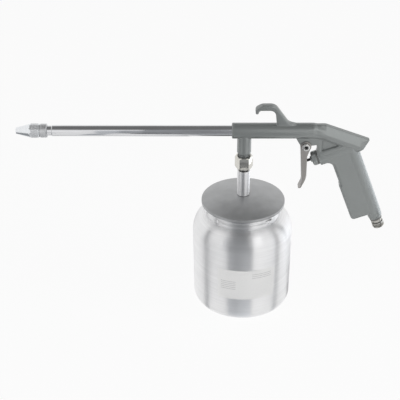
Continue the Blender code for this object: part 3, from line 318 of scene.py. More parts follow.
class Finish(Nodes):
    """One material on Object coordinates."""

    def __init__(self, name, roughness, metallic, **settings):
        self.material = bpy.data.materials.new(name)
        self.material.use_nodes = True
        super().__init__(self.material.node_tree)
        self.shader = self.tree.nodes["Principled BSDF"]
        self.shader.inputs["Roughness"].default_value = roughness
        self.shader.inputs["Metallic"].default_value = metallic
        for key, value in settings.items():
            self.shader.inputs[key.replace("_", " ")].default_value = value
        self.place = self.node("ShaderNodeTexCoord").outputs["Object"]

    def grain(self, scale, detail=3.0):
        """Noise stretched by a scale for each axis, in features per metre."""
        laid = self.node("ShaderNodeMapping", Vector=self.place, Scale=scale)
        noise = self.node("ShaderNodeTexNoise", Vector=laid.outputs["Vector"], Scale=1.0, Detail=detail,
                          Roughness=0.55)
        return noise.outputs["Fac"]

    def relief(self, height, depth, strength=1.0):
        """A bump of a real depth in metres."""
        made = self.node("ShaderNodeBump", Height=height, Distance=depth, Strength=strength)
        self.feed("Normal", made.outputs["Normal"])

    def feed(self, name, socket):
        """Links a socket to the shader."""
        self.tree.links.new(socket, self.shader.inputs[name])


def painted_casting(name, colour, flake, mottle, unevenness, smooth, rough, depth):
    """Grey stoved paint with metal flake on a casting: soft mottling and a little orange peel."""
    made = Finish(name, (smooth + rough) / 2, flake)
    cloud = made.grain((mottle, mottle, mottle), 4.0)
    peel = made.grain((1500.0, 1500.0, 1500.0), 2.0)
    dark = tuple(part * (1.0 - unevenness) for part in colour)
    light = tuple(part * (1.0 + unevenness) for part in colour)
    made.feed("Base Color", made.ramp(cloud, (0.30, dark), (0.70, light)))
    made.feed("Roughness", made.span(cloud, smooth, rough))
    made.relief(peel, depth, 0.3)
    return made.material


def spun_sheet(name, colour, lines, anisotropy, roughness=0.38):
    """Spun aluminium: fine rings round Z that draw reflections out up and down."""
    made = Finish(name, roughness, 1.0, Anisotropic=anisotropy, Anisotropic_Rotation=0.25)
    fine = made.grain((18.0, 18.0, lines), 4.0)
    broad = made.grain((9.0, 9.0, lines / 9.0), 3.0)
    both = made.math("ADD", made.math("MULTIPLY", fine, 0.65), made.math("MULTIPLY", broad, 0.35))
    dark = tuple(part * 0.86 for part in colour)
    made.feed("Base Color", made.ramp(both, (0.34, dark), (0.64, colour)))
    made.feed("Roughness", made.span(both, roughness * 0.9, roughness * 1.15))
    made.relief(both, 0.00003, 0.35)
    tangent = made.tree.nodes.new("ShaderNodeTangent")
    tangent.direction_type = "RADIAL"
    tangent.axis = "Z"
    made.feed("Tangent", tangent.outputs["Tangent"])
    return made.material


def worked_metal(name, colour, shine, lines):
    """Bare or plated metal with tool lines: lines is their count in a metre along each axis."""
    made = Finish(name, shine, 1.0)
    drawn = made.grain(lines)
    cloud = made.grain((70.0, 70.0, 70.0))
    dark = tuple(part * 0.88 for part in colour)
    made.feed("Base Color", made.ramp(made.math("MULTIPLY", drawn, made.span(cloud, 0.85, 1.15)),
                                      (0.32, dark), (0.62, colour)))
    both = made.math("ADD", made.span(drawn, shine * 0.75, shine * 1.2), made.span(cloud, -0.01, 0.03))
    made.feed("Roughness", both)
    made.relief(drawn, 0.00001, 0.5)
    return made.material


def dull_stuff(name, colour, roughness, grains, depth):
    """Rubber, fibre and plastics: an even colour broken by a fine grain."""
    made = Finish(name, roughness, 0.0)
    fine = made.grain((grains, grains, grains), 4.0)
    broad = made.grain((grains / 12.0, grains / 12.0, grains / 12.0), 2.0)
    dark = tuple(part * 0.72 for part in colour)
    made.feed("Base Color", made.ramp(made.math("MULTIPLY", fine, made.span(broad, 0.8, 1.2)), (0.3, dark),
                                      (0.65, colour)))
    made.feed("Roughness", made.span(fine, roughness * 0.85, min(1.0, roughness * 1.12)))
    made.relief(fine, depth, 0.6)
    return made.material


casting_paint = painted_casting("casting_paint", (0.265, 0.280, 0.277), 0.42, 55.0, 0.02, 0.28, 0.30,
                                0.000004)
lid_paint = painted_casting("lid_paint", (0.41, 0.415, 0.42), 0.82, 60.0, 0.10, 0.36, 0.40, 0.000001)
cup_sheet = spun_sheet("cup_sheet", (0.93, 0.93, 0.935), 2600.0, 0.96)
riser_metal = spun_sheet("riser_metal", (0.92, 0.92, 0.93), 2600.0, 0.85, 0.44)
lance_chrome = worked_metal("lance_chrome", (0.73, 0.735, 0.75), 0.10, (25.0, 1800.0, 1800.0))
nozzle_chrome = worked_metal("nozzle_chrome", (0.83, 0.85, 0.87), 0.16, (2400.0, 60.0, 60.0))
rib_metal = worked_metal("rib_metal", (0.62, 0.625, 0.635), 0.42, (2400.0, 60.0, 60.0))
nut_nickel = worked_metal("nut_nickel", (0.69, 0.675, 0.63), 0.13, (120.0, 120.0, 900.0))
trigger_steel = worked_metal("trigger_steel", (0.36, 0.345, 0.33), 0.28, (1500.0, 1500.0, 40.0))
bush_steel = worked_metal("bush_steel", (0.34, 0.35, 0.35), 0.34, (900.0, 900.0, 900.0))
zinc_plate = worked_metal("zinc_plate", (0.64, 0.64, 0.63), 0.26, (500.0, 500.0, 500.0))
inlet_nickel = worked_metal("inlet_nickel", (0.50, 0.49, 0.46), 0.14, (300.0, 300.0, 1800.0))
turned_brass = worked_metal("turned_brass", (0.72, 0.55, 0.26), 0.24, (1400.0, 60.0, 60.0))
# Black oxide of the valve stem, also used for the painted shade on the screw socket's floor
black_oxide = worked_metal("black_oxide", (0.035, 0.035, 0.036), 0.42, (600.0, 600.0, 600.0))
# Near black for threads: painted shade on the casting's stub and at the inlet's thread root
dark_thread = worked_metal("dark_thread", (0.05, 0.05, 0.05), 0.4, (600.0, 600.0, 600.0))
# Black rubber of the seals, also used for the ring of painted shade under the union nut
seal_rubber = dull_stuff("seal_rubber", (0.022, 0.022, 0.023), 0.62, 900.0, 0.00003)
red_fibre = dull_stuff("red_fibre", (0.36, 0.09, 0.05), 0.72, 1400.0, 0.00004)
grey_fibre = dull_stuff("grey_fibre", (0.24, 0.24, 0.23), 0.6, 1400.0, 0.00003)
milky_plastic = dull_stuff("milky_plastic", (0.74, 0.74, 0.70), 0.36, 500.0, 0.00001)
white_ptfe = dull_stuff("white_ptfe", (0.82, 0.82, 0.80), 0.46, 700.0, 0.00001)

# What the inner pieces, which keep their solids, are dressed in
inner_finishes = {
    "air_line": turned_brass, "air_line_bush": turned_brass, "air_jet": turned_brass,
    "valve_seat": turned_brass, "line_spacer": white_ptfe, "stem_packing": white_ptfe,
    "bush_seal": grey_fibre, "poppet_seal": seal_rubber, "union_seal": red_fibre,
    "riser_washer": red_fibre, "inlet_seal": grey_fibre, "riser_locknut": zinc_plate,
    "bayonet_pin_1": zinc_plate, "bayonet_pin_2": zinc_plate, "bayonet_pin_3": zinc_plate,
    "valve_stem": black_oxide, "dip_tube": milky_plastic,
}
for node_name, look in inner_finishes.items():
    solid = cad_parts[node_name]
    solid.data.materials.clear()
    solid.data.materials.append(look)


# Repeating forms made with Geometry Nodes

def start_tree(name, **inputs):
    """The nodes of an empty tree with named inputs and a finish, and the sockets that give them."""
    tree = bpy.data.node_groups.new(name, "GeometryNodeTree")
    tree.interface.new_socket("Geometry", in_out="OUTPUT", socket_type="NodeSocketGeometry")
    inputs["Finish"] = "Material"
    for label, kind in inputs.items():
        tree.interface.new_socket(label, in_out="INPUT", socket_type="NodeSocket" + kind)
    return Nodes(tree), tree.nodes.new("NodeGroupInput").outputs


def end_tree(nodes, source, given):
    """Realizes what the tree made and gives it its finish."""
    whole = nodes.node("GeometryNodeRealizeInstances", Geometry=source).outputs["Geometry"]
    painted = nodes.node("GeometryNodeSetMaterial", Geometry=whole, Material=given["Finish"])
    nodes.node("NodeGroupOutput", Geometry=painted.outputs["Geometry"])
    return nodes.tree


def thread_tree():
    """A screw thread: a pointed ridge wound round Z."""
    nodes, given = start_tree("screw_thread", Radius="Float", Ridge="Float", Length="Float", Turns="Float")
    winding = nodes.node("GeometryNodeCurveSpiral", Resolution=48, Rotations=given["Turns"],
                         Start_Radius=given["Radius"], End_Radius=given["Radius"], Height=given["Length"])
    section = nodes.node("GeometryNodeCurvePrimitiveCircle", Resolution=4, Radius=given["Ridge"])
    sweep = nodes.node("GeometryNodeCurveToMesh", Curve=winding.outputs["Curve"],
                       Profile_Curve=section.outputs["Curve"], Fill_Caps=True)
    return end_tree(nodes, sweep.outputs["Mesh"], given)


def ribs_tree():
    """Round ribs in a row along Z."""
    nodes, given = start_tree("turned_ribs", Radius="Float", Rib="Float", Pitch="Float", Count="Int")
    circle = nodes.node("GeometryNodeCurvePrimitiveCircle", Resolution=TURN, Radius=given["Radius"])
    section = nodes.node("GeometryNodeCurvePrimitiveCircle", Resolution=8, Radius=given["Rib"])
    sweep = nodes.node("GeometryNodeCurveToMesh", Curve=circle.outputs["Curve"],
                       Profile_Curve=section.outputs["Curve"])
    step = nodes.node("ShaderNodeCombineXYZ", Z=given["Pitch"])
    row = nodes.node("GeometryNodeMeshLine", Count=given["Count"], Offset=step.outputs["Vector"])
    copies = nodes.node("GeometryNodeInstanceOnPoints", Points=row.outputs["Mesh"],
                        Instance=sweep.outputs["Mesh"])
    return end_tree(nodes, copies.outputs["Instances"], given)


def grown(name, tree, values, place, look, body):
    """A piece grown by a tree with its named inputs set, then turned into a plain mesh."""
    holder = added(name, bpy.data.meshes.new(name))
    step = holder.modifiers.new(name, "NODES")
    step.node_group = tree
    for socket in tree.interface.items_tree:
        if socket.in_out == "INPUT":
            step[socket.identifier] = look if socket.name == "Finish" else values[socket.name]
    mesh = plain_mesh(holder)
    bm = bmesh.new()
    bm.from_mesh(mesh)
    bmesh.ops.remove_doubles(bm, verts=bm.verts, dist=0.000001)
    bmesh.ops.recalc_face_normals(bm, faces=bm.faces)
    return piece(name, bm, place, look, body)


screw_thread = thread_tree()
turned_ribs = ribs_tree()

# Cup
CUP_BASE_RADIUS = 0.0538
CUP_CORNER = 0.0125
CUP_WALL = 0.0011
SHOULDER_Z = 0.0902
SHOULDER_RISE = 0.0221
NECK_RADIUS = 0.0399
RIM_BULGE = 0.0021
FOOT_RADIUS = 0.036           # the base is dished inside this ring
FOOT_DISH = 0.0006
BEAD_COUNT = 3
BEAD_SPAN = 92.0              # degrees
BEAD_HEIGHT = 0.0054
BEAD_BULGE = 0.0022
BEAD_DROP = 0.0071
BEAD_END = 5.0                # degrees over which a bead runs out
BEAD_SIDE = 0.0016
ENTRY_WIDTH = 10.0            # degrees

cup_radius = cup_high.x
cup_top = cup_high.z
bead_z = cup_top - BEAD_DROP
neck_inside = NECK_RADIUS - CUP_WALL
shoulder_span = cup_radius - NECK_RADIUS


def shoulder_line(neck, rise, start, stop, count):
    """The shoulder's quarter ellipse, from start to stop degrees from the neck."""
    points = []
    for i in range(count + 1):
        angle = math.radians(start + (stop - start) * i / count)
        points.append((neck + shoulder_span * math.sin(angle), SHOULDER_Z + rise * math.cos(angle)))
    return points


def upright_line(radius, low, high, count):
    """Points strictly between two heights at one radius."""
    return [(radius, low + (high - low) * i / count) for i in range(1, count)]


def bead_push(angle, height):
    """How far the bayonet's beads stand out of the neck at an angle in degrees and a height."""
    most = 0.0
    for n in range(BEAD_COUNT):
        middle = -90.0 + 360.0 / BEAD_COUNT * n
        off = abs((angle - middle + 180.0) % 360.0 - 180.0)
        along = smooth_step((BEAD_SPAN / 2 - off) / BEAD_END)
        across = smooth_step((BEAD_HEIGHT / 2 - abs(height - bead_z)) / BEAD_SIDE)
        gate = middle + BEAD_SPAN / 2 - ENTRY_WIDTH / 2
        gate_off = abs((angle - gate + 180.0) % 360.0 - 180.0)
        entry = smooth_step((ENTRY_WIDTH / 2 - gate_off) / BEAD_END * 1.6) if height > bead_z else 0.0
        most = max(most, along * across, entry)
    return BEAD_BULGE * most


def cup_piece():
    """The spun cup with its rolled rim and pressed beads."""
    roll = (CUP_WALL + RIM_BULGE) / 2
    rim = (neck_inside + roll, cup_top - roll)
    under_rim = -math.degrees(math.acos((NECK_RADIUS - rim[0]) / roll))
    under_rim_z = rim[1] + roll * math.sin(math.radians(under_rim))
    corner = (CUP_BASE_RADIUS - CUP_CORNER, CUP_CORNER)
    shoulder_top = SHOULDER_Z + SHOULDER_RISE
    profile = [(0.0, CUP_WALL + FOOT_DISH), (FOOT_RADIUS - CUP_WALL, CUP_WALL + FOOT_DISH),
               (FOOT_RADIUS, CUP_WALL)]
    profile += arc(corner, CUP_CORNER - CUP_WALL, -90, 0, 14)
    profile += shoulder_line(neck_inside, SHOULDER_RISE - CUP_WALL, 90, 0, 24)
    profile += upright_line(neck_inside, shoulder_top - CUP_WALL, rim[1], 16)
    profile += arc(rim, roll, 180, under_rim, 20)
    profile += reversed(upright_line(NECK_RADIUS, shoulder_top, under_rim_z, 18))
    profile += shoulder_line(NECK_RADIUS, SHOULDER_RISE, 0, 90, 30)
    profile += arc(corner, CUP_CORNER, 0, -90, 16)
    profile += [(FOOT_RADIUS, 0.0), (FOOT_RADIUS - CUP_WALL, FOOT_DISH), (0.0, FOOT_DISH)]
    bm = lathe(profile, FINE_TURN)
    for point in bm.verts:
        if shoulder_top - CUP_WALL < point.co.z < under_rim_z + CUP_WALL:
            reach = math.hypot(point.co.x, point.co.y)
            push = bead_push(math.degrees(math.atan2(point.co.y, point.co.x)), point.co.z)
            point.co.x *= 1.0 + push / reach
            point.co.y *= 1.0 + push / reach
    bmesh.ops.recalc_face_normals(bm, faces=bm.faces)
    return piece("cup_shell", bm, along_z, cup_sheet, "cup", ("cup",))


cup_piece()

# Blank label on the cup's front
LABEL_LEFT = -120.9           # degrees round the cup
LABEL_RIGHT = -51.6
LABEL_LOW = 0.0314
LABEL_HIGH = 0.0694
LABEL_LIFT = 0.00004
LABEL_THICK = 0.00009
LABEL_COLUMNS = 48
LABEL_ROWS = 12
RULE_PITCH = 0.0024
RULE_SHARE = 0.22             # of the pitch that a line takes
RULE_DEPTH = 0.55
RULE_COLOUR = (0.30, 0.30, 0.31, 1.0)
RULED_BLOCKS = ((-0.0245, -0.0085, 0.0445, 0.0565),  # left, right, low and high
                (0.0095, 0.0300, 0.0590, 0.0660))


def label_paper():
    """White coated paper with blocks of faint ruled lines, laid by their places on the cup."""
    made = Finish("label_paper", 0.42, 0.0)
    fibres = made.grain((1600.0, 1600.0, 1600.0), 3.0)
    paper = made.ramp(fibres, (0.3, (0.86, 0.86, 0.855)), (0.7, (0.92, 0.92, 0.915)))
    parts = made.node("ShaderNodeSeparateXYZ", Vector=made.place)
    ruled = 0.0
    for left, right, low, high in RULED_BLOCKS:
        lines = made.math("DIVIDE", made.math("SUBTRACT", parts.outputs["Z"], low), RULE_PITCH)
        phase = made.math("FRACT", lines)
        inside = made.math("LESS_THAN", phase, RULE_SHARE)
        for axis, start, stop in (("X", left, right), ("Z", low, high)):
            for how, limit in (("GREATER_THAN", start), ("LESS_THAN", stop)):
                inside = made.math("MULTIPLY", inside, made.math(how, parts.outputs[axis], limit))
        ruled = made.math("MAXIMUM", ruled, inside)
    made.feed("Base Color", made.blend(made.math("MULTIPLY", ruled, RULE_DEPTH), paper, RULE_COLOUR))
    made.feed("Roughness", made.span(fibres, 0.36, 0.48))
    made.relief(fibres, 0.000008, 0.4)
    return made.material


def wall_radius(height):
    """Outer radius of the cup's leaning wall at a height."""
    share = (height - CUP_CORNER) / (SHOULDER_Z - CUP_CORNER)
    return CUP_BASE_RADIUS + (cup_radius - CUP_BASE_RADIUS) * share


def label_piece():
    """A thin closed patch that follows the cup's wall."""
    bm = bmesh.new()
    layers = []
    for lift in (LABEL_LIFT, LABEL_LIFT + LABEL_THICK):
        rows = []
        for j in range(LABEL_ROWS + 1):
            height = LABEL_LOW + (LABEL_HIGH - LABEL_LOW) * j / LABEL_ROWS
            row = []
            for i in range(LABEL_COLUMNS + 1):
                angle = math.radians(LABEL_LEFT + (LABEL_RIGHT - LABEL_LEFT) * i / LABEL_COLUMNS)
                reach = wall_radius(height) + lift
                row.append(bm.verts.new((reach * math.cos(angle), reach * math.sin(angle), height)))
            rows.append(row)
        layers.append(rows)
    under, over = layers
    for rows in layers:
        for j in range(LABEL_ROWS):
            for i in range(LABEL_COLUMNS):
                bm.faces.new((rows[j][i], rows[j][i + 1], rows[j + 1][i + 1], rows[j + 1][i]))
    edge_pairs = []
    for i in range(LABEL_COLUMNS):
        edge_pairs.append(((0, i), (0, i + 1)))
        edge_pairs.append(((LABEL_ROWS, i), (LABEL_ROWS, i + 1)))
    for j in range(LABEL_ROWS):
        edge_pairs.append(((j, 0), (j + 1, 0)))
        edge_pairs.append(((j, LABEL_COLUMNS), (j + 1, LABEL_COLUMNS)))
    for (aj, ai), (bj, bi) in edge_pairs:
        bm.faces.new((under[aj][ai], under[bj][bi], over[bj][bi], over[aj][ai]))
    bmesh.ops.recalc_face_normals(bm, faces=bm.faces)
    return piece("blank_label", bm, along_z, label_paper(), "cup")


label_piece()

# Lid and gasket
LID_RIM_HEIGHT = 0.0033
LID_DOME = 0.0063
DOME_POWER = 1.7
LID_HOLE = 0.00545
LID_SEAT = 0.0084
LID_THICKNESS = 0.0026
LID_EDGE = 0.0007
SKIRT_WALL = 0.0018
SKIRT_CLEARANCE = 0.0006
VENT_RADIUS = 0.001
VENT_REACH = 0.021

lid_radius = lid_high.x
lid_top = lid_high.z
rim_top = lid_top - LID_DOME
lid_z = rim_top - LID_RIM_HEIGHT
skirt_outside = neck_inside - SKIRT_CLEARANCE


def dome_height(radius):
    """Height of the lid's upper side at a radius."""
    share = max(0.0, (radius - LID_SEAT) / (lid_radius - LID_EDGE - LID_SEAT))
    return rim_top + LID_DOME * (1.0 - share ** DOME_POWER)


def lid_piece():
    """The pressed lid: dome, square rim, skirt and vent hole."""
    skirt_inside = skirt_outside - SKIRT_WALL
    edge = lid_radius - LID_EDGE
    profile = [(LID_HOLE, lid_top)]
    for i in range(41):
        reach = LID_SEAT + (edge - LID_SEAT) * i / 40
        profile.append((reach, dome_height(reach)))
    profile += arc((edge, rim_top - LID_EDGE), LID_EDGE, 78, 0, 6)
    profile += arc((lid_radius - LID_EDGE / 2, lid_z + LID_EDGE / 2), LID_EDGE / 2, 0, -90, 4)
    profile += [(skirt_outside, lid_z), (skirt_outside, lid_low.z), (skirt_inside, lid_low.z)]
    for i in range(21):
        reach = skirt_inside + (LID_SEAT - skirt_inside) * i / 20
        profile.append((reach, dome_height(reach) - LID_THICKNESS))
    profile.append((LID_HOLE, lid_top - LID_THICKNESS))
    drill = lathe([(0.0, lid_top), (VENT_RADIUS, lid_top), (VENT_RADIUS, lid_z), (0.0, lid_z)], 32)
    bmesh.ops.translate(drill, verts=drill.verts, vec=(0.0, VENT_REACH, 0.0))
    return cut_piece("lid_cover", lathe(profile, FINE_TURN), "DIFFERENCE", drill, 0.00015, along_z,
                     lid_paint, "gun", ("cup_lid",))


lid_piece()
gasket_inside = skirt_outside + FIT_GAP
gasket_profile = eased([(gasket_inside, gasket_high.z, 0.0002), (gasket_high.x, gasket_high.z, 0.0006),
                        (gasket_high.x, gasket_low.z, 0.0006), (gasket_inside, gasket_low.z, 0.0002)])
turned("gasket_ring", gasket_profile, along_z, seal_rubber, "gun", ("lid_gasket",), FINE_TURN)

# Riser
RISER_RADIUS = 0.0068
RISER_TOP_RADIUS = 0.0070
RISER_RECESS = 0.0048         # turned down just under the nut
RECESS_HEIGHT = 0.0017
SHADE_RING_BORE = 0.0045          # a black ring of painted shade in the recess under the nut, sunk a little into it
SHADE_RING_RADIUS = 0.0053
SHADE_RING_GAP = 0.0001
RISER_FOOT_EASE = 0.0002
RISER_NECK = 0.0044
RISER_FLANGE = 0.0059
RISER_FLANGE_HEIGHT = 0.0022
RISER_BORE = 0.0024
SPIGOT_RADIUS = 0.0052
riser_foot = lid_top + FIT_GAP
riser_top = nut_low.z - FIT_GAP
riser_profile = eased([(RISER_BORE, riser_high.z, 0.0002), (RISER_FLANGE, riser_high.z, 0.0003),
                       (RISER_FLANGE, riser_high.z - RISER_FLANGE_HEIGHT, 0.0003),
                       (RISER_NECK, riser_high.z - RISER_FLANGE_HEIGHT, 0.0),
                       (RISER_NECK, riser_top, 0.0), (RISER_RECESS, riser_top, 0.0),
                       (RISER_RECESS, riser_top - RECESS_HEIGHT, 0.0),
                       (RISER_TOP_RADIUS, riser_top - RECESS_HEIGHT, 0.0005),
                       (RISER_RADIUS, riser_foot, RISER_FOOT_EASE), (SPIGOT_RADIUS, riser_foot, 0.0),
                       (SPIGOT_RADIUS, riser_low.z, 0.0), (RISER_BORE, riser_low.z, 0.0)])
turned("riser_stem", riser_profile, along_z, riser_metal, "gun", ("riser",))
# A black ring in the recess under the nut: painted shade where the nut shadows the riser, not a real washer
shade_ring_low = riser_top - RECESS_HEIGHT + SHADE_RING_GAP
shade_ring_high = riser_top - SHADE_RING_GAP
shade_ring_profile = eased([(SHADE_RING_BORE, shade_ring_low, 0.0), (SHADE_RING_RADIUS, shade_ring_low, 0.0002),
                        (SHADE_RING_RADIUS, shade_ring_high, 0.0002), (SHADE_RING_BORE, shade_ring_high, 0.0)])
turned("neck_shade_ring", shade_ring_profile, along_z, seal_rubber, "gun")

# Union nut
NUT_FLATS = 0.017
NUT_LIP = 0.0035
NUT_CHAMFER = 0.0014
NUT_TAPER = 0.0034            # height of the cone at the nut's foot
NUT_FOOT = 0.0070
NUT_BORE = 0.00665
NUT_BORE_CHAMFER = 0.0008
nut_corner = NUT_FLATS / math.sqrt(3) * 1.01
nut_face = NUT_FLATS / 2 * 0.96
nut_blank = [(NUT_BORE + NUT_BORE_CHAMFER, nut_high.z), (nut_face, nut_high.z),
             (nut_corner, nut_high.z - NUT_CHAMFER), (nut_corner, nut_low.z + NUT_TAPER),
             (NUT_FOOT, nut_low.z), (RISER_NECK + FIT_GAP, nut_low.z),
             (RISER_NECK + FIT_GAP, nut_low.z + NUT_LIP), (NUT_BORE, nut_low.z + NUT_LIP),
             (NUT_BORE, nut_high.z - NUT_BORE_CHAMFER)]
cut_piece("union_hex", lathe(nut_blank, TURN), "INTERSECT",
          hexagon(NUT_FLATS, nut_low.z - CUT_PAST, nut_high.z + CUT_PAST), 0.00018, along_z, nut_nickel,
          "union_nut", ("union_nut",))

# Casting
SKIN_VOXEL = 0.00042
SKIN_PASSES = 4
BRANCH_RADIUS = 0.0076
BRANCH_DROP = 0.0282
STUB_RADIUS = 0.0063
STUB_SHOW = 0.0023            # how much of the threaded stub stands clear of the branch
STUB_THREAD = 0.00028
STUB_TURNS = 2.6
STUB_SINK = 0.00005
STUB_BELOW = 0.0014           # how far its thread runs below the branch
branch_foot = barrel_z - BRANCH_DROP
BLEND_X = 0.0760              # the tail runs out of the barrel round here
BLEND_Z = barrel_z - 0.0075
BLEND_REACHES = (0.006, 0.0045, 0.003)
BLEND_PASSES = 12


def merged_copy(node):
    """A bmesh of a solid with its loose triangles joined."""
    bm = bmesh.new()
    bm.from_mesh(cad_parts[node].data)
    bmesh.ops.remove_doubles(bm, verts=bm.verts, dist=0.000002)
    return bm


def casting_piece():
    """The body casting, with its corners run together as a mould leaves them."""
    bm = merged_copy("gun_body")
    low = branch_foot - 0.0004
    high = branch_foot + STUB_SHOW
    outside = BRANCH_RADIUS * 1.3
    ring = cutter(lathe([(STUB_RADIUS, low), (STUB_RADIUS, high), (outside, high), (outside, low)], TURN))
    steps = [("BOOLEAN", {"operation": "DIFFERENCE", "object": ring, "solver": "EXACT"}),
             ("REMESH", {"mode": "VOXEL", "voxel_size": SKIN_VOXEL, "use_smooth_shade": True}),
             ("SMOOTH", {"factor": 0.5, "iterations": SKIN_PASSES})]
    mesh = worked("gun_casting", bm, steps)
    bpy.data.objects.remove(ring, do_unlink=True)
    bm = bmesh.new()
    bm.from_mesh(mesh)
    for reach in BLEND_REACHES:
        near = [point for point in bm.verts if abs(point.co.x - BLEND_X) < reach and point.co.z > BLEND_Z]
        for _ in range(BLEND_PASSES):
            bmesh.ops.smooth_vert(bm, verts=near, factor=0.5, use_axis_x=True, use_axis_y=True,
                                  use_axis_z=True)
    bm.to_mesh(mesh)
    bm.free()
    return dress("gun_casting", mesh, casting_paint, "gun", ("gun_body",), SKIN_SHARP)


casting_piece()
# The stub's thread is near black: painted shade in the gap between the branch and the nut
grown("stub_thread", screw_thread,
      {"Radius": STUB_RADIUS - STUB_SINK, "Ridge": STUB_THREAD, "Length": STUB_SHOW + STUB_BELOW,
       "Turns": STUB_TURNS},
      Matrix.Translation((0.0, 0.0, branch_foot - STUB_BELOW)), dark_thread, "gun")

# Lance
LANCE_RADIUS = 0.006
LANCE_WALL = 0.001
RELIEF_RADIUS = 0.0055
RELIEF_LENGTH = 0.005
relief_end = ring_high.x + RELIEF_LENGTH
lance_profile = eased([(LANCE_RADIUS - LANCE_WALL, lance_high.x, 0.0), (LANCE_RADIUS, lance_high.x, 0.0003),
                       (LANCE_RADIUS, relief_end + 0.0004, 0.0003), (RELIEF_RADIUS, relief_end, 0.0003),
                       (RELIEF_RADIUS, lance_low.x, 0.0003), (LANCE_RADIUS - LANCE_WALL, lance_low.x, 0.0)])
turned("lance", lance_profile, along_barrel, lance_chrome, "gun", ("lance_tube",))

# Lock ring and nozzle
RING_RADIUS = 0.0075
RING_GROOVE = 0.0009
SCREW_BORE = 0.0058
NOZZLE_RADIUS = 0.0076
NOZZLE_GRIP = 0.0101
CONE_RADIUS = 0.007
CONE_STEP = 0.0008
TIP_RADIUS = 0.0034
TIP_HOLE = 0.0017
HOLE_DEPTH = 0.0025
NOZZLE_SOCKET = 0.0125
RIB = 0.00034
RIB_COUNT = 8
RIB_MARGIN = 0.002            # of the grip, left without ribs
FIRST_RIB = 0.0015
ring_profile = eased([(SCREW_BORE, ring_high.x, 0.0), (RING_RADIUS, ring_high.x, 0.0012),
                      (RING_RADIUS, ring_low.x + RING_GROOVE, 0.0002),
                      (RING_RADIUS - RING_GROOVE, ring_low.x + RING_GROOVE, 0.0),
                      (RING_RADIUS - RING_GROOVE, ring_low.x, 0.0), (SCREW_BORE, ring_low.x, 0.0)])
turned("lock_ring_shell", ring_profile, along_barrel, rib_metal, "lock_ring", ("lock_ring",))
cone_back = nozzle_high.x - NOZZLE_GRIP
core = NOZZLE_RADIUS - RIB / 2
nozzle_profile = eased([(SCREW_BORE, nozzle_high.x, 0.0), (core, nozzle_high.x, 0.0006),
                        (core, cone_back, 0.0004), (CONE_RADIUS, cone_back - CONE_STEP, 0.0005),
                        (TIP_RADIUS, nozzle_low.x, 0.0005), (TIP_HOLE, nozzle_low.x, 0.0003),
                        (TIP_HOLE, nozzle_low.x + HOLE_DEPTH, 0.0),
                        (SCREW_BORE, nozzle_high.x - NOZZLE_SOCKET, 0.0)])
turned("nozzle_shell", nozzle_profile, along_barrel, nozzle_chrome, "nozzle", ("nozzle",))
rib_pitch = (NOZZLE_GRIP - RIB_MARGIN) / RIB_COUNT
grown("nozzle_ribs", turned_ribs, {"Radius": core, "Rib": RIB, "Pitch": rib_pitch, "Count": RIB_COUNT},
      along_barrel @ Matrix.Translation((0.0, 0.0, cone_back + FIRST_RIB)), rib_metal, "nozzle")

# Trigger and its pivot screw
TRIGGER_VOXEL = 0.0003


def trigger_piece():
    """The pressed trigger with its sheared edges eased."""
    bm = merged_copy("trigger")
    steps = [("REMESH", {"mode": "VOXEL", "voxel_size": TRIGGER_VOXEL, "use_smooth_shade": True}),
             ("SMOOTH", {"factor": 0.5, "iterations": 4})]
    mesh = worked("trigger_sheet", bm, steps)
    return dress("trigger_sheet", mesh, trigger_steel, "trigger", ("trigger",), SKIN_SHARP)


trigger_piece()

screw_low, screw_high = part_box("trigger_screw")
pivot_nut_low, pivot_nut_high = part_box("trigger_nut")
SCREW_RADIUS = 0.002
SCREW_CHAMFER = 0.0005
HEAD_RADIUS = 0.0043
HEAD_HEIGHT = 0.0023
HEAD_ROUND = 0.0015           # how far in the head's rounded edge reaches
HEAD_CROWN = 0.001            # and how far down
SOCKET_FLATS = 0.0042
SOCKET_DEPTH = 0.0014
SOCKET_SHADE_PLATE = 0.0002         # half the thickness of the black plate on its floor, painted shade in the socket
head_under = screw_low.y + HEAD_HEIGHT
screw_profile = [(0.0, screw_high.y), (SCREW_RADIUS - SCREW_CHAMFER, screw_high.y),
                 (SCREW_RADIUS, screw_high.y - SCREW_CHAMFER), (SCREW_RADIUS, head_under),
                 (HEAD_RADIUS, head_under)]
for turn in range(0, 91, 10):
    angle = math.radians(turn)
    screw_profile.append((HEAD_RADIUS - HEAD_ROUND + HEAD_ROUND * math.cos(angle),
                          screw_low.y + HEAD_CROWN - HEAD_CROWN * math.sin(angle)))
screw_profile.append((0.0, screw_low.y))
cut_piece("pivot_screw", lathe(screw_profile, SMALL_TURN), "DIFFERENCE",
          hexagon(SOCKET_FLATS, screw_low.y - CUT_PAST, screw_low.y + SOCKET_DEPTH), 0.0001, along_pivot,
          zinc_plate, "gun", ("trigger_screw",))
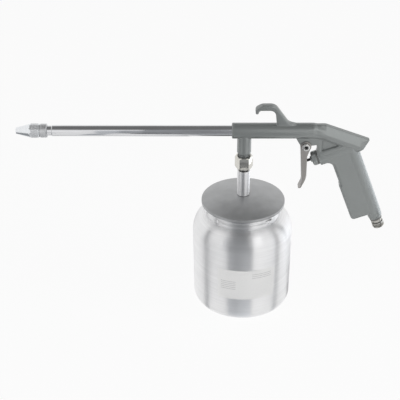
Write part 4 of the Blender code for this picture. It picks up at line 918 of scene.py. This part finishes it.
# A black disc on the socket's floor: painted shade in the hex socket
socket_floor = screw_low.y + SOCKET_DEPTH
socket_reach = SOCKET_FLATS / 2 - SOCKET_SHADE_PLATE
socket_shade_profile = [(0.0, socket_floor - SOCKET_SHADE_PLATE), (socket_reach, socket_floor - SOCKET_SHADE_PLATE),
                  (socket_reach, socket_floor + SOCKET_SHADE_PLATE), (0.0, socket_floor + SOCKET_SHADE_PLATE)]
turned("screw_socket", socket_shade_profile, along_pivot, black_oxide, "gun", (), SMALL_TURN)
PIVOT_NUT_FLATS = 0.007
PIVOT_NUT_BORE = 0.0023
PIVOT_NUT_FACE = 0.0034
PIVOT_NUT_CORNER = 0.0041
pivot_blank = [(PIVOT_NUT_BORE, pivot_nut_high.y), (PIVOT_NUT_FACE, pivot_nut_high.y),
               (PIVOT_NUT_CORNER, pivot_nut_high.y - SCREW_CHAMFER),
               (PIVOT_NUT_CORNER, pivot_nut_low.y + SCREW_CHAMFER), (PIVOT_NUT_FACE, pivot_nut_low.y),
               (PIVOT_NUT_BORE, pivot_nut_low.y)]
cut_piece("pivot_nut", lathe(pivot_blank, SMALL_TURN), "INTERSECT",
          hexagon(PIVOT_NUT_FLATS, pivot_nut_low.y - CUT_PAST, pivot_nut_high.y + CUT_PAST), 0.0001,
          along_pivot, zinc_plate, "gun", ("trigger_nut",))

# Valve bush, gland and spring, the first two measured along the valve's axis from the grip's axis
BUSH_SHOULDER = -0.0377
BUSH_FRONT = -0.0433
BUSH_END = -0.02885
BUSH_RADIUS = 0.008
BUSH_SPIGOT = 0.0062
STEM_WAY = 0.0018
PACKING_BORE = 0.0037
PACKING_FLOOR = -0.0389
GLAND_FRONT = -0.0449
GLAND_END = -0.0407
GLAND_RADIUS = 0.0034
bush_profile = eased([(STEM_WAY, BUSH_END, 0.0), (BUSH_SPIGOT, BUSH_END, 0.0004),
                      (BUSH_SPIGOT, BUSH_SHOULDER, 0.0), (BUSH_RADIUS, BUSH_SHOULDER, 0.0003),
                      (BUSH_RADIUS, BUSH_FRONT, 0.0022),
                      (PACKING_BORE, BUSH_FRONT, 0.0002), (PACKING_BORE, PACKING_FLOOR, 0.0),
                      (STEM_WAY, PACKING_FLOOR, 0.0)], 6)
turned("bush_cap", bush_profile, along_valve, casting_paint, "gun", ("valve_bush",))
gland_profile = eased([(STEM_WAY, GLAND_END, 0.0), (GLAND_RADIUS, GLAND_END, 0.0002),
                       (GLAND_RADIUS, GLAND_FRONT, 0.0005), (STEM_WAY, GLAND_FRONT, 0.0002)])
turned("gland_nut", gland_profile, along_valve, bush_steel, "gun", ("stem_gland",),
       SMALL_TURN)


def spring_piece():
    """The valve spring, a smooth copy of its solid in zinc plate."""
    mesh = as_mesh("spring_coil", merged_copy("valve_spring"))
    mesh.shade_smooth()
    mesh.materials.append(zinc_plate)
    made = added("spring_coil", mesh)
    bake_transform(made)
    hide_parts("valve_spring")


spring_piece()

# Air inlet, measured up the grip from the valve's axis
NIPPLE_TOP = -0.086
INLET_SHOULDER = -0.096
GROOVE_TOP = -0.0974
THREAD_TOP = -0.0992
NIPPLE_END = -0.1068
NIPPLE_SPIGOT = 0.0052
SHOULDER_RADIUS = 0.0067
GROOVE_RADIUS = 0.0054
THREAD_CORE = 0.0060
NIPPLE_BORE = 0.0036
THREAD_RIDGE = 0.0006
THREAD_TURNS = 5.0
THREAD_START = 0.001          # from the nipple's end
THREAD_SHORT = 0.0018         # how much shorter than its core the ridge runs
ROOT_SINK = 0.0004            # the root of the thread, painted near black as shade, into the core and below its top
ROOT_LIFT = 0.0001            # and out of it
ROOT_START = 0.0009
nipple_profile = eased([(NIPPLE_BORE, NIPPLE_TOP, 0.0), (NIPPLE_SPIGOT, NIPPLE_TOP, 0.0003),
                        (NIPPLE_SPIGOT, INLET_SHOULDER, 0.0), (SHOULDER_RADIUS, INLET_SHOULDER, 0.0003),
                        (SHOULDER_RADIUS, GROOVE_TOP, 0.0004), (GROOVE_RADIUS, GROOVE_TOP, 0.0002),
                        (GROOVE_RADIUS, THREAD_TOP, 0.0002), (THREAD_CORE, THREAD_TOP, 0.0003),
                        (THREAD_CORE, NIPPLE_END, 0.0006), (NIPPLE_BORE, NIPPLE_END, 0.0003)])
turned("inlet_nipple", nipple_profile, along_grip, inlet_nickel, "gun", ("air_inlet",))
# A near-black band under the ridges: painted shade at the root of the thread
root_top = THREAD_TOP - ROOT_SINK
root_end = NIPPLE_END + ROOT_START
thread_root = [(THREAD_CORE - ROOT_SINK, root_top), (THREAD_CORE + ROOT_LIFT, root_top),
               (THREAD_CORE + ROOT_LIFT, root_end), (THREAD_CORE - ROOT_SINK, root_end)]
turned("inlet_thread_root_shade", thread_root, along_grip, dark_thread, "gun")
grown("inlet_thread", screw_thread,
      {"Radius": THREAD_CORE, "Ridge": THREAD_RIDGE, "Length": THREAD_TOP - NIPPLE_END - THREAD_SHORT,
       "Turns": THREAD_TURNS},
      along_grip @ Matrix.Translation((0.0, 0.0, NIPPLE_END + THREAD_START)), inlet_nickel, "gun")

# Stage: white floor, a light tent with a dark slot overhead, reflection cards and the photograph's camera
TARGET = Vector((-0.0474, 0.0, 0.1269))
DISTANCE = 1.430
PITCH = 31.4                  # degrees down
LENS = 117.0
TENT_LEVEL = 1.0
SLOT_LEVEL = 0.19
SLOT_SIDE = (0.22, 0.42)      # sideways share of a direction over which the slot ends
SLOT_RISE = (0.56, 0.80)      # upward share over which it begins
FILL_LEVEL = 0.60             # what matt surfaces get from the sides
TOP_FILL = 0.20               # and from overhead
FILL_RISE = (0.15, 0.75)      # upward share over which one becomes the other
FLOOR_COLOUR = (0.92, 0.92, 0.92, 1.0)
FLOOR_WHITE = 0.93            # how much of the floor shows as plain white
CARD_FADE = 0.2               # how far from the cup a lying card has its full level
CARD_STREAKS = ((0.35, 0.6), (0.7, 1.4))  # noise, and the share of the level that it gives
CARD_TINT = (0.97, 1.0, 1.04)
LAMP_AIM = Vector((0.0, 0.0, 0.13))
CARD_LIFT = 0.0005


def floor_finish():
    """Pale floor that looks white and still takes a soft shadow."""
    made = bpy.data.materials.new("floor_white")
    nodes = bare_nodes(made)
    rays = nodes.node("ShaderNodeLightPath").outputs
    seen = nodes.math("MAXIMUM", rays["Is Camera Ray"], rays["Is Glossy Ray"])
    seen = nodes.math("MAXIMUM", seen, rays["Is Transmission Ray"])
    matt = nodes.node("ShaderNodeBsdfDiffuse", Color=FLOOR_COLOUR).outputs["BSDF"]
    glow = nodes.node("ShaderNodeEmission", Strength=1.0).outputs["Emission"]
    surface = nodes.mixed(nodes.math("MULTIPLY", seen, FLOOR_WHITE), matt, glow)
    nodes.node("ShaderNodeOutputMaterial", Surface=surface)
    return made


def stage_sheet(name, corners, look):
    """A flat sheet of the stage through its corners."""
    mesh = bpy.data.meshes.new(name)
    mesh.from_pydata(corners, [], [tuple(range(len(corners)))])
    mesh.materials.append(look)
    made = added(name, mesh)
    return made


def card_finish(name, level, streaks, near=None):
    """A card that shows only in reflections, a little uneven; near is its level at the cup's wall."""
    made = bpy.data.materials.new(name)
    nodes = bare_nodes(made)
    place = nodes.node("ShaderNodeTexCoord").outputs["Object"]
    laid = nodes.node("ShaderNodeMapping", Vector=place, Scale=streaks)
    noise = nodes.node("ShaderNodeTexNoise", Vector=laid.outputs["Vector"], Scale=1.0)
    stops = [(position, [part * share for part in CARD_TINT]) for position, share in CARD_STREAKS]
    uneven = nodes.ramp(noise.outputs["Fac"], *stops)
    reach = nodes.node("ShaderNodeVectorMath", Vector=place)
    reach.operation = "LENGTH"
    start = level if near is None else near
    fall = nodes.span(reach.outputs["Value"], start, level, CUP_BASE_RADIUS, CARD_FADE)
    glow = nodes.node("ShaderNodeEmission", Color=uneven, Strength=fall)
    nodes.node("ShaderNodeOutputMaterial", Surface=glow.outputs["Emission"])
    return made


def only_in_metal(sheet):
    """Leaves a sheet of the stage to be seen by reflections alone."""
    sheet.visible_camera = False
    sheet.visible_diffuse = False
    sheet.visible_shadow = False
    sheet.visible_transmission = False


def upright_card(name, left, right, low, high, level):
    """An upright card between two places on the floor and two heights."""
    corners = [(*left, low), (*right, low), (*right, high), (*left, high)]
    only_in_metal(stage_sheet(name, corners, card_finish(name, level, (6.0, 6.0, 30.0))))


def lying_card(name, places, near, level, lift=CARD_LIFT):
    """A card that lies on the floor, from its level at the cup to its level further off."""
    corners = [(x, y, lift) for x, y in places]
    only_in_metal(stage_sheet(name, corners, card_finish(name, level, (8.0, 8.0, 8.0), near)))


def studio_world():
    """A white tent with a dark slot overhead; the camera sees it white."""
    world = bpy.data.worlds.new("studio")
    bpy.context.scene.world = world
    nodes = bare_nodes(world)

    def rise(value, start, stop):
        made = nodes.node("ShaderNodeMapRange", Value=value, From_Min=start, From_Max=stop)
        made.interpolation_type = "SMOOTHSTEP"
        return made.outputs["Result"]

    place = nodes.node("ShaderNodeTexCoord").outputs["Generated"]
    parts = nodes.node("ShaderNodeSeparateXYZ", Vector=place).outputs
    side = rise(nodes.math("ABSOLUTE", parts["X"]), *SLOT_SIDE)
    slot = nodes.math("MULTIPLY", rise(parts["Z"], *SLOT_RISE), nodes.math("SUBTRACT", 1.0, side))
    tent = nodes.math("SUBTRACT", TENT_LEVEL, nodes.math("MULTIPLY", slot, TENT_LEVEL - SLOT_LEVEL))
    loss = nodes.math("MULTIPLY", rise(parts["Z"], *FILL_RISE), FILL_LEVEL - TOP_FILL)
    fill = nodes.math("SUBTRACT", FILL_LEVEL, loss)
    rays = nodes.node("ShaderNodeLightPath").outputs
    matt = rays["Is Diffuse Ray"]
    level = nodes.math("ADD", nodes.math("MULTIPLY", fill, matt),
                       nodes.math("MULTIPLY", tent, nodes.math("SUBTRACT", 1.0, matt)))
    white = (1.0, 1.0, 1.0, 1.0)
    room = nodes.node("ShaderNodeBackground", Color=white, Strength=level).outputs["Background"]
    backdrop = nodes.node("ShaderNodeBackground", Color=white).outputs["Background"]
    nodes.node("ShaderNodeOutputWorld", Surface=nodes.mixed(rays["Is Camera Ray"], room, backdrop))


def soft_box(name, place, width, height, watts, mirrored):
    """A large soft lamp that faces the gun; mirrored says whether reflections show it."""
    light = bpy.data.lights.new(name, "AREA")
    light.shape = "RECTANGLE"
    light.size = width
    light.size_y = height
    light.energy = watts
    made = added(name, light)
    made.location = place
    made.rotation_euler = (Vector(place) - LAMP_AIM).to_track_quat("Z", "Y").to_euler()
    made.visible_glossy = mirrored


def photo_camera():
    """The camera of the photograph."""
    lens = bpy.data.cameras.new("photo_camera")
    lens.lens = LENS
    lens.sensor_width = 36.0
    made = added("photo_camera", lens)
    pitch = math.radians(PITCH)
    made.location = TARGET + DISTANCE * Vector((0.0, -math.cos(pitch), math.sin(pitch)))
    made.rotation_euler = (math.pi / 2 - pitch, 0.0, 0.0)
    bpy.context.scene.camera = made


FLOOR = 6.0
FRONT_Y = -0.21
stage_sheet("floor", [(x * FLOOR, y * FLOOR, 0.0) for x, y in ((-1, -1), (1, -1), (1, 1), (-1, 1))],
            floor_finish())

# In front, for the cup's shoulder, the nut and the lance; the last two soften the left edge on the lance
for name, left, right, low, high, level in (("front_low", -0.135, 0.075, 0.02, 0.09, 0.23),
                                            ("front_middle", -0.115, 0.075, 0.09, 0.21, 0.34),
                                            ("front_high", -0.115, 0.030, 0.21, 0.46, 0.32),
                                            ("front_edge", -0.150, -0.115, 0.09, 0.34, 0.45),
                                            ("front_fade", -0.185, -0.150, 0.09, 0.34, 0.66)):
    upright_card(name, (left, FRONT_Y), (right, FRONT_Y), low, high, level)

# At the sides and on the floor, for the dark lines on the cup, the lance and the cone
upright_card("left_seam", (-0.6385, 0.0059), (-0.6367, -0.0987), 0.0, 0.60, 0.18)
upright_card("right_seam", (0.6377, -0.0724), (0.6219, -0.1811), 0.22, 0.60, 0.18)
upright_card("right_low_seam", (0.298, -0.0546), (0.291, -0.1017), 0.0, 0.085, 0.15)
lying_card("front_foot", [(-0.019, -0.0545), (-0.135, FRONT_Y), (0.075, FRONT_Y), (0.009, -0.0545)],
           0.70, 0.48)
lying_card("left_foot", [(-0.0445, -0.0335), (-0.0415, -0.0380), (-0.6367, -0.0987), (-0.6385, 0.0059)],
           0.45, 0.30)
lying_card("right_foot", [(0.0365, -0.0430), (0.0405, -0.0395), (0.298, -0.0546), (0.291, -0.1017)],
           0.48, 0.28)
lying_card("left_back", [(-0.055, 0.0), (-0.25, 0.40), (-0.055, 0.40)], 0.35, 0.35)
lying_card("lance_foot", [(-0.205, -0.60), (-0.17, -0.60), (-0.17, -0.03), (-0.205, -0.03)], 0.68, 0.68)
lying_card("cone_foot", [(-0.60, -0.70), (-0.33, -0.70), (-0.262, 0.06), (-0.42, 0.06)], 0.33, 0.33)
lying_card("right_back", [(0.056, -0.012), (0.18, 0.09), (0.145, 0.125), (0.056, 0.0)], 0.15, 0.15)

# Far off to the right, the sheen of the grip
lying_card("right_glow", [(0.38, -0.45), (1.8, -0.45), (1.8, 0.02), (0.38, 0.02)], 1.6, 1.6, CARD_LIFT / 2)
lying_card("back_glow", [(0.30, 0.02), (1.8, 0.02), (1.8, 0.60), (0.30, 0.60)], 2.3, 2.3, CARD_LIFT / 2)

studio_world()
soft_box("left_box", (-1.15, -1.05, 0.70), 0.9, 1.0, 8.0, False)
soft_box("right_box", (1.35, -0.40, 0.55), 0.5, 1.0, 6.5, False)
soft_box("high_box", (0.74, -1.12, 1.16), 0.7, 0.7, 1.6, True)
photo_camera()
bpy.context.scene.view_settings.view_transform = "Standard"
